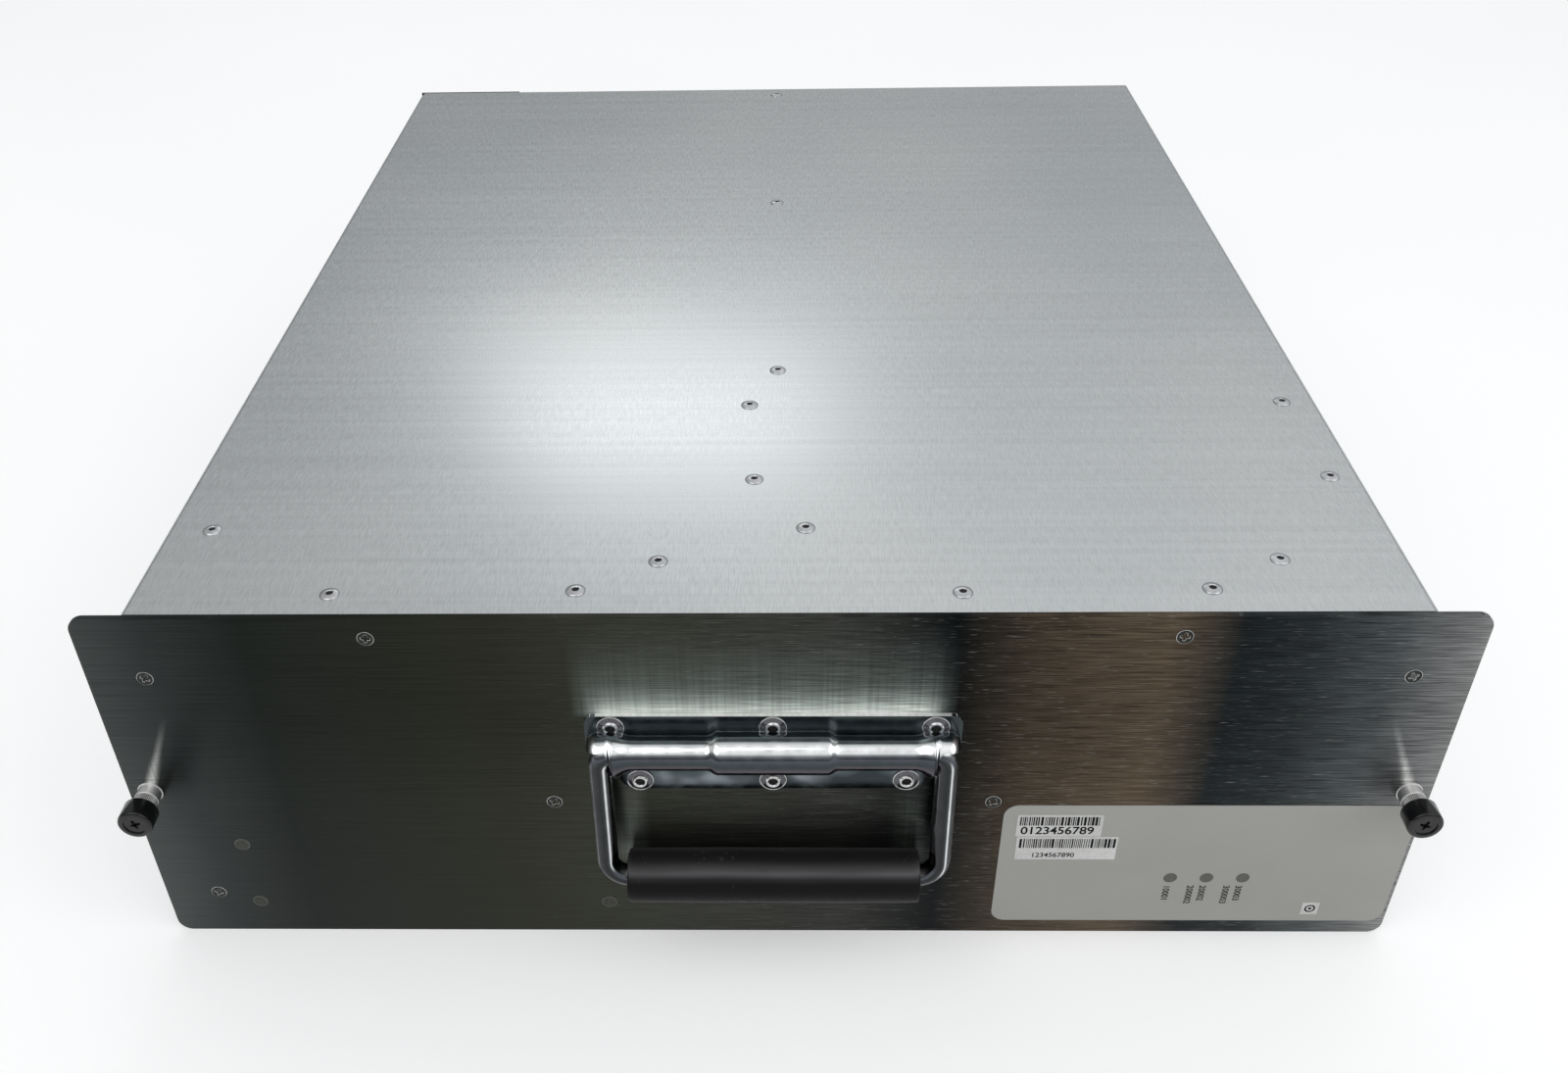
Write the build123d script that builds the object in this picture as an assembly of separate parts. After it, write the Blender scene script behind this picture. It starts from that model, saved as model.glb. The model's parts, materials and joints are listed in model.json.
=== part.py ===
from build123d import *
from math import asin, atan2, cos, degrees, hypot, radians, sin, sqrt, tan
import os

# Fan tray for a network chassis, in millimetres.
# X runs left to right, Y from the panel's front face towards the back, Z up from the panel's bottom edge.
# Every shape is made in this layout; the writer at the end moves it to the centre of its own footprint.

# Front panel
panel_width = 437.0
panel_height = 145.0
panel_thick = 2.3
panel_corner_r = 5.0

# Sheet-metal body
body_width = 405.0
body_back = 492.0
sheet = 1.2
bend_r = 1.0
lip_width = 12.0
cover_flange_drop = 13.6

# General fits and overrun of cuts
snug = 0.03
seat_gap = 0.3
overrun = 1.0

# Corner posts behind the panel
post_width = 6.0
post_depth = 8.0
post_tongue = 14.0
post_tongue_thick = 4.0

# Countersunk panel screws
screw_r = 1.5
screw_head_r = 2.8
screw_length = 7.0
screw_hole_r = 1.7
corner_screw_low = 20.4
corner_screw_drop = 24.0
cover_screw_x = 126.2
deck_screw_x = 74.0
clinch_nut_r = 3.2
clinch_nut_length = 2.6

# Blind rivets of the body
rivet_r = 1.6
rivet_head_r = 3.2
rivet_head_h = 0.8
rivet_bulb_r = 2.3
rivet_bulb_h = 2.2
rivet_edge = 4.0
dome_share = 0.8
side_rivet_edge = 7.0
post_rivet_zs = (44.0, 100.0)
deck_rivet_y_shares = (0.14, 0.5, 0.86)
rear_rivet_rises = (24.0, 92.0)
rear_rivet_drop = 15.8

# Blower deck
deck_z = 60.0
deck_thick = 1.2
deck_flange = 12.0
deck_side_drop = 14.0

# Blowers
blower_pitch = 198.0
blower_pair_x = 6.4
blower_y = 109.3
scroll_thick = 1.0
scroll_start_r = 73.9
scroll_growth = 9.3
scroll_start_deg = 60.0
scroll_arcs = 5
scroll_bend_deg = -140.0
scroll_return_deg = 38.0
scroll_reach = 107.4
scroll_straight_end = 143.0
scroll_nose_r = 5.0
scroll_rivet_offset = 5.0
scroll_tab_width = 10.0
scroll_rivet_deg = (-147.0, -115.5, -72.0, -55.0, -20.0, 13.5)

# Blower wheels
wheel_r = 66.5
blade_inner_r = 54.5
blade_count = 32
blade_thick = 0.9
blade_bow_deg = 75.0
blade_lean_deg = 20.0
wheel_bottom = 70.0
wheel_headroom = 12.6
wheel_plate_thick = 1.2
wheel_ring_height = 1.5
wheel_ring_thick = 1.0

# Motors
rotor_r = 35.0
rotor_wall = 2.0
rotor_depth = 38.0
stator_r = 31.5
stator_flange_r = 31.0
stator_flange_thick = 3.0
stator_tube_r = 11.0
shaft_r = 3.0
shaft_fit = 0.04
bearing_r = 8.0
bearing_width = 5.0
strap_near_r = 6.2
strap_far_r = 9.0
motor_screw_r_share = 0.68
strap_screw_deg = 45.0
strap_thick = 2.5
stud_head_r = 3.2
stud_head_h = 0.6
stud_r = 2.0
strap_nut_r = 3.5
nut_side_count = 6
near_stud_offset = (55.1, -63.3)
far_stud_offset = (-88.0, 67.3)

# Inlet rings and guards
inlet_mouth_r = 14.0
inlet_lip = 3.0
inlet_throat_r = 50.0
inlet_flange_r = 74.0
inlet_sheet = 1.0
guard_thick = 1.2
guard_rib = 2.4
guard_foot_half = 4.0
guard_ring_rs = (16.0, 34.0, 52.0)
guard_screw_r = 1.5
guard_first_deg = 45.0

# Centre divider
divider_x = -4.0
divider_thick = 1.2
divider_gap = 2.0
divider_flange = 11.0
divider_rivet_x = 2.1
divider_rivet_ys = (156.5, 324.6, 482.0)

# Rear frame, grilles and connector
rear_thick = 1.2
rear_flange = 15.0
outlet_margin = 12.0
grille_thick = 1.0
grille_bar = 2.4
grille_pitch = 9.0
grille_border = 6.0
connector_x = -120.0
connector_z = 17.5
connector_width = 62.0
connector_height = 18.0
connector_depth = 20.0
connector_wall = 2.0
connector_plate = 3.0
connector_pin_r = 0.8
connector_pin_pitch = 5.0
connector_pins_across = 8
guide_r = 3.0
guide_wall = 2.5
guide_spacing = 82.0
guide_flange_thick = 2.0
gasket_width = 56.5
gasket_thick = 1.6
gasket_height = 6.0

# Handle
handle_z = 93.9
handle_plate_top = 106.0
handle_plate_bottom = 73.8
handle_plate_thick = 1.5
handle_lower_width = 102.4
handle_corner_r = 3.0
handle_lower_corner_r = 6.0
bead_r = 5.75
bead_middle_r = 7.2
bead_half = 51.5
bead_middle_half = 18.0
ear_r = 7.0
ear_half = 61.0
bead_step = 3.0
rod_r = 3.75
pivot_offset = 5.6
leg_x = 56.4
leg_length = 53.5
bail_top_r = 5.0
bail_bottom_r = 8.0
bail_end_gap = 3.0
grip_r = 9.35
grip_length = 99.0
grip_edge_r = 0.8
grip_mouth = 2.0
handle_spring_wire = 1.2
handle_spring_turns = 4
handle_rivet_r = 2.4
handle_rivet_head_r = 4.6
handle_rivet_head_h = 1.4
crown_share = 0.9
handle_rivet_bulb_r = 3.4
handle_rivet_bulb_h = 4.0
upper_rivet_x = 52.4
upper_rivet_z = 101.4
lower_rivet_x = 44.1
lower_rivet_z = 78.0

# Captive screws
captive_edge = 7.5
captive_z = 70.8
ferrule_r = 4.0
ferrule_bore_r = 2.8
ferrule_length = 8.7
ferrule_shoulder_r = 3.3
ferrule_floor = 1.5
ferrule_clinch = 1.0
knob_r = 5.75
knob_cavity_r = 4.3
knob_start = 8.4
knob_end = 16.0
knob_chamfer = 0.7
knob_recess_r = 3.75
knob_recess_depth = 0.5
captive_shank_r = 1.45
captive_thread_r = 2.0
captive_thread_length = 6.0
captive_stroke = 5.5
captive_washer_r = 2.7
captive_washer_thick = 0.5
captive_washer_depth = 8.0
knob_boss_r = 2.45
knob_screw_end = 13.4
knob_slot_r = 2.2
knob_slot_width = 0.9
knob_slot_depth = 1.2
captive_spring_r = 2.2
captive_spring_wire = 0.5
captive_spring_turns = 5

# Label and lights
label_thick = 0.3
label_left = 78.0
label_edge = 1.5
label_z = (6.6, 64.5)
label_corner_r = 5.0
sticker_thick = 0.15
sticker_bounds = (
    ((82.8, 111.9), (49.9, 60.1)),
    ((83.5, 118.1), (38.5, 49.5)),
    ((187.7, 193.7), (10.2, 16.2)),
)
led_xs = (138.9, 151.5, 164.1)
led_z = 29.0
led_window_r = 2.35
led_hole_r = 2.8
led_r = 2.4
led_length = 5.0
led_board_width = 46.0
led_board_height = 22.0
led_board_gap = 4.0

# Controller board behind the panel
board_thick = 1.6
board_gap = 8.0
board_stud_xs = (-185.5, -59.0)
board_stud_zs = (15.5, 45.0)
board_margin = 6.5
panel_stud_head_r = 3.0
panel_stud_head_h = 1.4
panel_stud_r = 1.5
panel_stud_length = 14.0
board_spacer_r = 3.0
board_nut_r = 3.1
board_nut_h = 2.4

# Parts on the controller board, placed as shares of its width and height
capacitor_r = 6.5
capacitor_length = 20.0
capacitor_rim_share = 0.12
capacitor_x_shares = (0.17, 0.28)
header_size = (20.0, 11.0, 9.0)
header_wall = 1.2
header_shares = {"left": (0.62, 0.5), "loom": (0.62, 0.2), "right": (0.84, 0.5)}
sink_size = (26.0, 14.0, 24.0)
sink_x_share = 0.43
sink_fins = 6
sink_base_share = 0.2
chip_size = (13.0, 2.6, 10.0)
chip_x_share = 0.07

# Wiring
loom_r = 3.0
lead_r = 2.0
lamp_lead_r = 1.2
grommet_offset = (-78.0, 86.0)
grommet_r = 6.0
grommet_lip = 1.5
grommet_thick = 4.0
clip_thick = 1.2
clip_width = 8.0
lead_bend_r = 8.0
lead_drop = 10.5
lead_front = 34.0
loom_front = 48.0
loom_wall_gap = 13.0
loom_back = 440.0
lead_clip_ys = (50.0, 170.0)
loom_clip_ys = (150.0, 330.0)
lamp_lead_depth = 20.0
lamp_lead_shares = (0.93, 0.26)
lamp_lead_bend_r = 4.0

# Places worked out from the sizes above
inner_half = body_width / 2 - sheet
roof_z = panel_height - sheet
floor_z = sheet
panel_back = panel_thick
rear_front = body_back - rear_thick
body_half = body_width / 2
post_inner = body_half - post_width
post_screw_x = body_half - post_width / 2
post_tongue_end = panel_back + post_depth + post_tongue
post_low = floor_z + 2 * bend_r
post_high = roof_z - 2 * bend_r
deck_bottom = deck_z - deck_thick
deck_screw_z = deck_z + deck_flange / 2
corner_screw_z = (corner_screw_low, panel_height - corner_screw_drop)
rear_rivet_zs = (*rear_rivet_rises, roof_z - rear_rivet_drop)
captive_x = panel_width / 2 - captive_edge
label_x = (label_left, panel_width / 2 - label_edge)
divider_start = scroll_straight_end + divider_gap
guard_foot_r = inlet_flange_r - guard_foot_half
half_turn = 180.0
square_turn = half_turn / 2
cover_screw_z = roof_z - cover_flange_drop / 2
blower_xs = {
    "left": blower_pair_x - blower_pitch / 2,
    "right": blower_pair_x + blower_pitch / 2,
}
sides = {"left": -1, "right": 1}
wheel_top = roof_z - wheel_headroom
wheel_height = wheel_top - wheel_bottom
strap_bottom = roof_z - strap_thick
rotor_low = wheel_top - wheel_plate_thick - rotor_depth
tube_low = rotor_low + 4 * rotor_wall
inlet_hole_r = inlet_throat_r + inlet_mouth_r
rest_tilt = degrees(asin((grip_r + seat_gap - pivot_offset) / leg_length))
knob_cavity_end = ferrule_length + captive_stroke + seat_gap
ear_inner = ear_r - handle_plate_thick
front_reach = grip_r * 2 + seat_gap
rear_reach = body_back + gasket_thick
frame_shift = (front_reach - rear_reach) / 2


def block(x0, x1, y0, y1, z0, z1):
    """A box between two opposite corners."""
    centre = Pos((x0 + x1) / 2, (y0 + y1) / 2, (z0 + z1) / 2)
    return centre * Box(x1 - x0, y1 - y0, z1 - z0)


def drum(radius, length):
    """A cylinder standing on the origin, up +Z."""
    return Cylinder(radius, length, align=(Align.CENTER, Align.CENTER, Align.MIN))


def turned(*points):
    """A body turned about Z from an outline of (radius, height) points."""
    return revolve(Plane.XZ * make_face(Polyline(*points, close=True)), Axis.Z)


def facing_back(shape):
    """Lays a shape made along +Z down along +Y."""
    return Rot(-90, 0, 0) * shape


def facing_right(shape):
    """Lays a shape made along +Z down along +X."""
    return Rot(0, 90, 0) * shape


def mirrored(shape):
    """The same shape on the other side of the middle plane."""
    return mirror(shape, about=Plane.YZ)


def group(shapes):
    """Separate solids kept together in one node."""
    solids = [solid for shape in shapes for solid in shape.solids()]
    return Compound(children=solids)


def plate_xz(width, height, corner_r, front, back, x=0.0, z=0.0):
    """An upright plate with rounded corners, from its front face to its back face."""
    outline = Pos(x, z) * RectangleRounded(width, height, corner_r)
    return Pos(0, front, 0) * extrude(Plane.XZ * outline, -(back - front))


def hole_y(radius, x, z):
    """A cutter for a round hole through the panel."""
    return Pos(x, -overrun, z) * facing_back(drum(radius, panel_thick + 2 * overrun))


def polar(radius, angle):
    """A point at a distance and an angle in degrees from the origin."""
    return radius * cos(radians(angle)), radius * sin(radians(angle))


def ring_places(x, radius, first_deg, count=4):
    """Places spread evenly on a circle round a blower's axis."""
    places = []
    for index in range(count):
        dx, dy = polar(radius, first_deg + index * 360 / count)
        places.append((x + dx, blower_y + dy))
    return places


def panel_screw_places():
    """The eight screws of the panel, with the kind of seat that each goes into."""
    places = [(side * post_screw_x, z) for side in (-1, 1) for z in corner_screw_z]
    places += [(side * cover_screw_x, cover_screw_z) for side in (-1, 1)]
    places += [(side * deck_screw_x, deck_screw_z) for side in (-1, 1)]
    return places


def flange_screw_places():
    """The four panel screws that go into clinch nuts on the body's flanges."""
    return panel_screw_places()[len(sides) * len(corner_screw_z):]


def board_stud_places():
    """The four studs that carry the controller board."""
    return [(x, z) for x in board_stud_xs for z in board_stud_zs]


def handle_rivet_places():
    upper = [(x, upper_rivet_z) for x in (-upper_rivet_x, 0, upper_rivet_x)]
    lower = [(x, lower_rivet_z) for x in (-lower_rivet_x, 0, lower_rivet_x)]
    return upper + lower


def scroll_rivet_places(x):
    """Where the tabs of one scroll are riveted, and which way each tab points, on a line outside the wall."""
    places = []
    for angle in scroll_rivet_deg:
        radius = scroll_start_r + scroll_growth * radians(scroll_start_deg - angle) + scroll_rivet_offset
        place = polar(radius, angle)
        slope = degrees(asin(scroll_growth / radius))
        places.append((x + place[0], blower_y + place[1], angle + slope))
    return places


def roof_rivet_places():
    """All rivets through the top of the cover."""
    places = [place[:2] for x in blower_xs.values() for place in scroll_rivet_places(x)]
    return places + [(divider_rivet_x, y) for y in divider_rivet_ys]


def roof_stud_places():
    """The two studs that carry each motor strap."""
    return [
        (x + offset[0], blower_y + offset[1])
        for x in blower_xs.values()
        for offset in (near_stud_offset, far_stud_offset)
    ]


def post_rivet_spots():
    """Rivets through the side walls, as places along the body and above its floor."""
    return [(post_tongue_end - side_rivet_edge, z) for z in post_rivet_zs]


def deck_rivet_spots():
    """Rivets through the side walls into the deck's side flanges."""
    return [(share * body_back, deck_z - deck_side_drop + side_rivet_edge) for share in deck_rivet_y_shares]


def rear_rivet_spots():
    """Rivets through the side walls into the rear frame's flanges."""
    return [(rear_front - side_rivet_edge, z) for z in rear_rivet_zs]


def front_panel():
    panel = plate_xz(panel_width, panel_height, panel_corner_r, 0, panel_thick, z=panel_height / 2)
    cone = turned(
        (0, -overrun),
        (screw_head_r + overrun, -overrun),
        (screw_hole_r, screw_head_r - screw_hole_r),
        (screw_hole_r, panel_thick + overrun),
        (0, panel_thick + overrun),
    )
    for x, z in panel_screw_places():
        panel -= Pos(x, 0, z) * facing_back(cone)
    for side in sides.values():
        panel -= hole_y(ferrule_shoulder_r + snug, side * captive_x, captive_z)
    for x, z in handle_rivet_places():
        panel -= hole_y(handle_rivet_r + snug, x, z)
    for x in led_xs:
        panel -= hole_y(led_hole_r, x, led_z)
    for x, z in board_stud_places():
        panel -= hole_y(panel_stud_r + snug, x, z)
        seat = drum(panel_stud_head_r + snug, panel_stud_head_h + overrun)
        panel -= Pos(x, -overrun, z) * facing_back(seat)
    return panel


def panel_screws():
    cone = screw_head_r - screw_r
    screw = turned((0, 0), (screw_head_r, 0), (screw_r, cone), (screw_r, screw_length), (0, screw_length))
    return group([Pos(x, 0, z) * facing_back(screw) for x, z in panel_screw_places()])


def clinch_nuts():
    """Round nuts pressed into the flanges behind the panel."""
    ring = drum(clinch_nut_r, clinch_nut_length) - drum(screw_r + snug, clinch_nut_length)
    nuts = []
    for x, z in flange_screw_places():
        back = panel_back + (sheet if z > deck_screw_z else deck_thick)
        nuts.append(Pos(x, back, z) * facing_back(ring))
    return group(nuts)


def corner_posts():
    """Two bars behind the panel's ends, tapped for its corner screws, with tongues riveted to the sides."""
    post = block(post_inner, body_half, panel_back, panel_back + post_depth, post_low, post_high)
    tongue_inner = inner_half - post_tongue_thick
    post += block(tongue_inner, inner_half, panel_back, post_tongue_end, post_low, post_high)
    for z in corner_screw_z:
        post -= Pos(post_screw_x, 0, z) * facing_back(drum(screw_r + snug, screw_length + overrun))
    rivet_hole = facing_right(drum(rivet_r + snug, post_width + 2 * overrun))
    for y, z in post_rivet_spots():
        post -= Pos(tongue_inner - overrun, y, z) * rivet_hole
    return group([mirrored(post), post])


def cover_section():
    """The cover seen from the front: a box of sheet with its floor cut away between two lips."""
    outside = RectangleRounded(body_width, panel_height, bend_r + sheet)
    inside = RectangleRounded(body_width - 2 * sheet, panel_height - 2 * sheet, bend_r)
    mouth = Pos(0, -panel_height / 2) * Rectangle(2 * (inner_half - lip_width), 4 * sheet)
    return Pos(0, panel_height / 2) * (outside - inside - mouth)


def top_cover():
    cover = Pos(0, panel_back, 0) * extrude(Plane.XZ * cover_section(), -(body_back - panel_back))
    half = post_inner - bend_r
    cover += block(-half, half, panel_back, panel_back + sheet, roof_z - cover_flange_drop, roof_z)
    notch = block(
        post_inner - bend_r,
        body_half + overrun,
        0,
        panel_back + post_depth + seat_gap,
        post_low - seat_gap,
        post_high + seat_gap,
    )
    cover = cover - notch - mirrored(notch)
    for x, z in flange_screw_places():
        if z > deck_screw_z:
            cover -= Pos(x, 0, z) * facing_back(drum(screw_r + snug, screw_length))
    for x, y in roof_rivet_places():
        cover -= Pos(x, y, roof_z - overrun) * drum(rivet_r + snug, sheet + 2 * overrun)
    for x, y in roof_stud_places():
        cover -= Pos(x, y, roof_z - overrun) * drum(stud_r + snug, sheet + 2 * overrun)
        cover -= Pos(x, y, panel_height - stud_head_h) * drum(stud_head_r + snug, stud_head_h + overrun)
    hole = facing_right(drum(rivet_r + snug, sheet + 2 * overrun))
    for y, z in post_rivet_spots() + deck_rivet_spots() + rear_rivet_spots():
        cutter = Pos(inner_half - overrun, y, z) * hole
        cover = cover - cutter - mirrored(cutter)
    return cover


def blind_rivet(grip):
    """A dome-headed blind rivet whose head sits at z = 0 and whose tail is set past its grip length."""
    return turned(
        (0, rivet_head_h / 4),
        (rivet_head_r / 4, rivet_head_h / 4),
        (rivet_head_r / 3, rivet_head_h),
        (rivet_head_r * 2 / 3, rivet_head_h * dome_share),
        (rivet_head_r, 0),
        (rivet_r, 0),
        (rivet_r, -grip),
        (rivet_bulb_r, -grip),
        (rivet_bulb_r, -grip - rivet_bulb_h),
        (0, -grip - rivet_bulb_h),
    )


def roof_rivets():
    scroll = blind_rivet(sheet + scroll_thick)
    divider = blind_rivet(sheet + divider_thick)
    last = blind_rivet(sheet + rear_thick + divider_thick)
    rivets = []
    for x, y in roof_rivet_places():
        rivet = scroll
        if x == divider_rivet_x:
            rivet = last if y == divider_rivet_ys[-1] else divider
        rivets.append(Pos(x, y, panel_height) * rivet)
    return group(rivets)


def side_rivets():
    """The rivets through both side walls, into the posts, the deck and the rear frame."""
    rivets = []
    for spots, hold in (
        (post_rivet_spots(), sheet + post_tongue_thick),
        (deck_rivet_spots(), sheet + deck_thick),
        (rear_rivet_spots(), sheet + rear_thick),
    ):
        rivet = facing_right(blind_rivet(hold))
        rivets += [Pos(body_half, y, z) * rivet for y, z in spots]
    return group([mirrored(rivet) for rivet in rivets] + rivets)


def inner_rivet_places():
    """Rivets through the deck: the scrolls' lower tabs and the divider's foot."""
    scrolls = [place[:2] for x in blower_xs.values() for place in scroll_rivet_places(x)]
    return scrolls, [(divider_rivet_x, y) for y in divider_rivet_ys[:-1]]


def deck_rivets():
    scrolls, divider = inner_rivet_places()
    scroll_rivet = Rot(180, 0, 0) * blind_rivet(deck_thick + scroll_thick)
    divider_rivet = Rot(180, 0, 0) * blind_rivet(deck_thick + divider_thick)
    rivets = [Pos(x, y, deck_bottom) * scroll_rivet for x, y in scrolls]
    return group(rivets + [Pos(x, y, deck_bottom) * divider_rivet for x, y in divider])


def blower_deck():
    """The shelf that carries both blowers, with a front flange up and side flanges down."""
    end = rear_front
    deck = block(-inner_half, inner_half, panel_back, end, deck_bottom, deck_z)
    flange_half = post_inner - bend_r
    flange_top = deck_z + deck_flange
    deck += block(-flange_half, flange_half, panel_back, panel_back + deck_thick, deck_z, flange_top)
    notch_end = post_tongue_end + bend_r
    notch_inner = inner_half - post_tongue_thick - bend_r
    for side in sides.values():
        wall = sorted((side * inner_half, side * (inner_half - deck_thick)))
        deck += block(*wall, notch_end, end - rear_flange - bend_r, deck_z - deck_side_drop, deck_z)
        corner = sorted((side * notch_inner, side * (inner_half + overrun)))
        deck -= block(*corner, 0, notch_end, deck_bottom - overrun, flange_top + overrun)
    for x, z in flange_screw_places():
        if z <= deck_screw_z:
            deck -= Pos(x, 0, z) * facing_back(drum(screw_r + snug, screw_length))
    for x in blower_xs.values():
        deck -= Pos(x, blower_y, deck_bottom - overrun) * drum(inlet_hole_r + snug, deck_thick + 2 * overrun)
        for sx, sy in guard_screw_places(x):
            deck -= Pos(sx, sy, deck_bottom - overrun) * drum(guard_screw_r + snug, deck_thick + 2 * overrun)
    scrolls, divider = inner_rivet_places()
    for x, y in scrolls + divider:
        deck -= Pos(x, y, deck_bottom - overrun) * drum(rivet_r + snug, deck_thick + 2 * overrun)
    for x, y in grommet_places():
        deck -= Pos(x, y, deck_bottom - overrun) * drum(grommet_r - grommet_lip, deck_thick + 2 * overrun)
    hole = facing_right(drum(rivet_r + snug, deck_thick + 2 * overrun))
    for y, z in deck_rivet_spots():
        cutter = Pos(inner_half - deck_thick - overrun, y, z) * hole
        deck = deck - cutter - mirrored(cutter)
    return deck


def scroll_curve():
    """The scroll's arcs clockwise from its tongue: centre, outer radius, first and last angle."""
    start = scroll_start_deg + degrees(asin(scroll_growth / scroll_start_r))
    step = (start - scroll_bend_deg) / scroll_arcs
    growth = scroll_growth * radians(step)
    centre_r = growth / (2 * sin(radians(step / 2)))
    radius = sqrt(scroll_start_r**2 - scroll_growth**2) + growth / 2
    arcs = []
    for index in range(scroll_arcs):
        begin = start - index * step
        end = begin - step
        centre = polar(centre_r, begin - step / 2 - square_turn)
        arcs.append((centre, radius + index * growth, begin, end))
    radius = arcs[-1][1]
    out = polar(radius, end)
    bend_r_left = (scroll_reach + centre[0] + out[0]) / (1 + cos(radians(end)))
    back = polar(bend_r_left, end)
    bend = (centre[0] + out[0] - back[0], centre[1] + out[1] - back[1])
    arcs.append((bend, bend_r_left, end, -half_turn))
    return arcs


def scroll_outline(right_end):
    """The scroll wall from above, about the wheel's axis, with its closing wall and straight run."""
    arcs = scroll_curve()
    (cx, cy), radius, start = arcs[0][:3]
    tip = polar(radius + scroll_nose_r, start)
    nose = (cx + tip[0], cy + tip[1])
    edges = []
    for centre, r, begin, end in arcs:
        edges.append(CenterArc(centre, r, begin, end - begin))
        edges.append(CenterArc(centre, r - scroll_thick, begin, end - begin))
    left = -scroll_reach
    bend_y = arcs[-1][0][1]
    top = scroll_straight_end - blower_y
    inside = left + scroll_thick
    edges.append(Polyline((left, bend_y), (left, top), (inside, top), (inside, bend_y)))
    last = scroll_return_deg + square_turn
    first = start + half_turn
    slope = tan(radians(scroll_return_deg))
    corners = []
    for r in (scroll_nose_r, scroll_nose_r + scroll_thick):
        edges.append(CenterArc(nose, r, first, last - first))
        edge = polar(r, last)
        corner = (nose[0] + edge[0], nose[1] + edge[1])
        corners += [corner, (right_end, corner[1] + (right_end - corner[0]) * slope)]
    edges.append(Polyline(corners[0], corners[1], corners[3], corners[2]))
    return make_face(edges)


def scroll_wall(side):
    """A sheet scroll around one wheel, closed to its neighbour and riveted by tabs above and below."""
    x = blower_xs[side]
    right_wall = divider_x - divider_thick / 2 if side == "left" else inner_half
    outline = scroll_outline(right_wall - x - bend_r - seat_gap)
    wall = Pos(x, blower_y, deck_z) * extrude(outline, roof_z - deck_z)
    half = scroll_tab_width / 2
    root = -scroll_rivet_offset - scroll_thick / 2
    tab = block(root, rivet_edge, -half, half, 0, scroll_thick)
    tab = fillet(tab.edges().filter_by(Axis.Z).group_by(Axis.X)[-1], rivet_edge * 2 / 3)
    tab -= Pos(0, 0, -overrun) * drum(rivet_r + snug, scroll_thick + 2 * overrun)
    for px, py, turn in scroll_rivet_places(x):
        for z in (deck_z, roof_z - scroll_thick):
            wall += Pos(px, py, z) * Rot(0, 0, turn) * tab
    return wall


def wheel_blade():
    """One thin bowed blade, leaning forward from the eye to the rim."""
    chord = (wheel_r - blade_inner_r) / cos(radians(blade_lean_deg))
    half = blade_bow_deg / 2
    bow = chord / (2 * sin(radians(half)))
    front = CenterArc((0, 0), bow, -half, blade_bow_deg)
    back = CenterArc((0, 0), bow - blade_thick, -half, blade_bow_deg)
    outline = make_face([front, back, Line(front @ 0, back @ 0), Line(front @ 1, back @ 1)])
    outline = Rot(0, 0, 90 - blade_lean_deg) * Pos(-bow * cos(radians(half)), 0) * outline
    return extrude(Pos((wheel_r + blade_inner_r) / 2, 0) * outline, wheel_height - wheel_plate_thick)


def blower_wheel(side):
    """A forward-curved wheel: a back plate, a ring at the eye and thin bowed blades between them."""
    plate = drum(wheel_r, wheel_plate_thick) - drum(rotor_r - rotor_wall, wheel_plate_thick)
    wheel = Pos(0, 0, wheel_height - wheel_plate_thick) * plate
    hoop = drum(wheel_r + wheel_ring_thick, wheel_ring_height)
    hoop -= drum(wheel_r - 3 * wheel_ring_thick, wheel_ring_height)
    blade = wheel_blade()
    blades = [Rot(0, 0, index * 360 / blade_count) * blade for index in range(blade_count)]
    wheel = wheel.fuse(hoop, *blades)
    return Pos(blower_xs[side], blower_y, wheel_bottom) * wheel


def rotor(side):
    """The motor's spinning can, hung in the wheel's plate, with its shaft."""
    top = wheel_top - wheel_plate_thick
    low = rotor_low
    can = turned(
        (0, low),
        (rotor_r - rotor_wall * 2, low),
        (rotor_r, low + rotor_wall * 2),
        (rotor_r, top),
        (rotor_r - rotor_wall, top),
        (rotor_r - rotor_wall, low + rotor_wall * 2),
        (rotor_r - rotor_wall * 2, low + rotor_wall),
        (stator_tube_r / 2, low + rotor_wall),
        (stator_tube_r / 2, low + rotor_wall * 3),
        (0, low + rotor_wall * 3),
    )
    shaft = drum(shaft_r, strap_bottom - stator_flange_thick / 2 - low)
    return Pos(blower_xs[side], blower_y, 0) * (can + Pos(0, 0, low) * shaft)


def stator(side):
    """The fixed half of the motor: a flange under the strap, a bearing tube and the wound core."""
    top = strap_bottom
    flange_low = top - stator_flange_thick
    core_top = wheel_top - wheel_plate_thick - rotor_wall
    bore = bearing_r + snug
    body = turned(
        (shaft_r + overrun, top),
        (stator_flange_r, top),
        (stator_flange_r, flange_low),
        (stator_tube_r, flange_low),
        (stator_tube_r, core_top),
        (stator_r, core_top),
        (stator_r, tube_low + rotor_wall),
        (stator_tube_r, tube_low + rotor_wall),
        (stator_tube_r, tube_low),
        (bore, tube_low),
        (bore, flange_low),
        (shaft_r + overrun, flange_low),
    )
    screw_hole = drum(screw_r + snug, stator_flange_thick + 2 * overrun)
    for x, y in motor_screw_places(0):
        body -= Pos(x, y - blower_y, flange_low - overrun) * screw_hole
    return Pos(blower_xs[side], blower_y, 0) * body


def bearings(side):
    """Two plain ball-bearing rings in the stator's tube."""
    high = strap_bottom - stator_flange_thick - bearing_width
    ring = drum(bearing_r, bearing_width) - drum(shaft_r + shaft_fit, bearing_width)
    return group([Pos(blower_xs[side], blower_y, z) * ring for z in (tube_low, high)])


def motor_screw_places(x):
    """Four screws round the shaft that hold a stator to its strap."""
    first = degrees(atan2(far_stud_offset[1], far_stud_offset[0])) + strap_screw_deg
    return ring_places(x, stator_flange_r * motor_screw_r_share, first)


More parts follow.
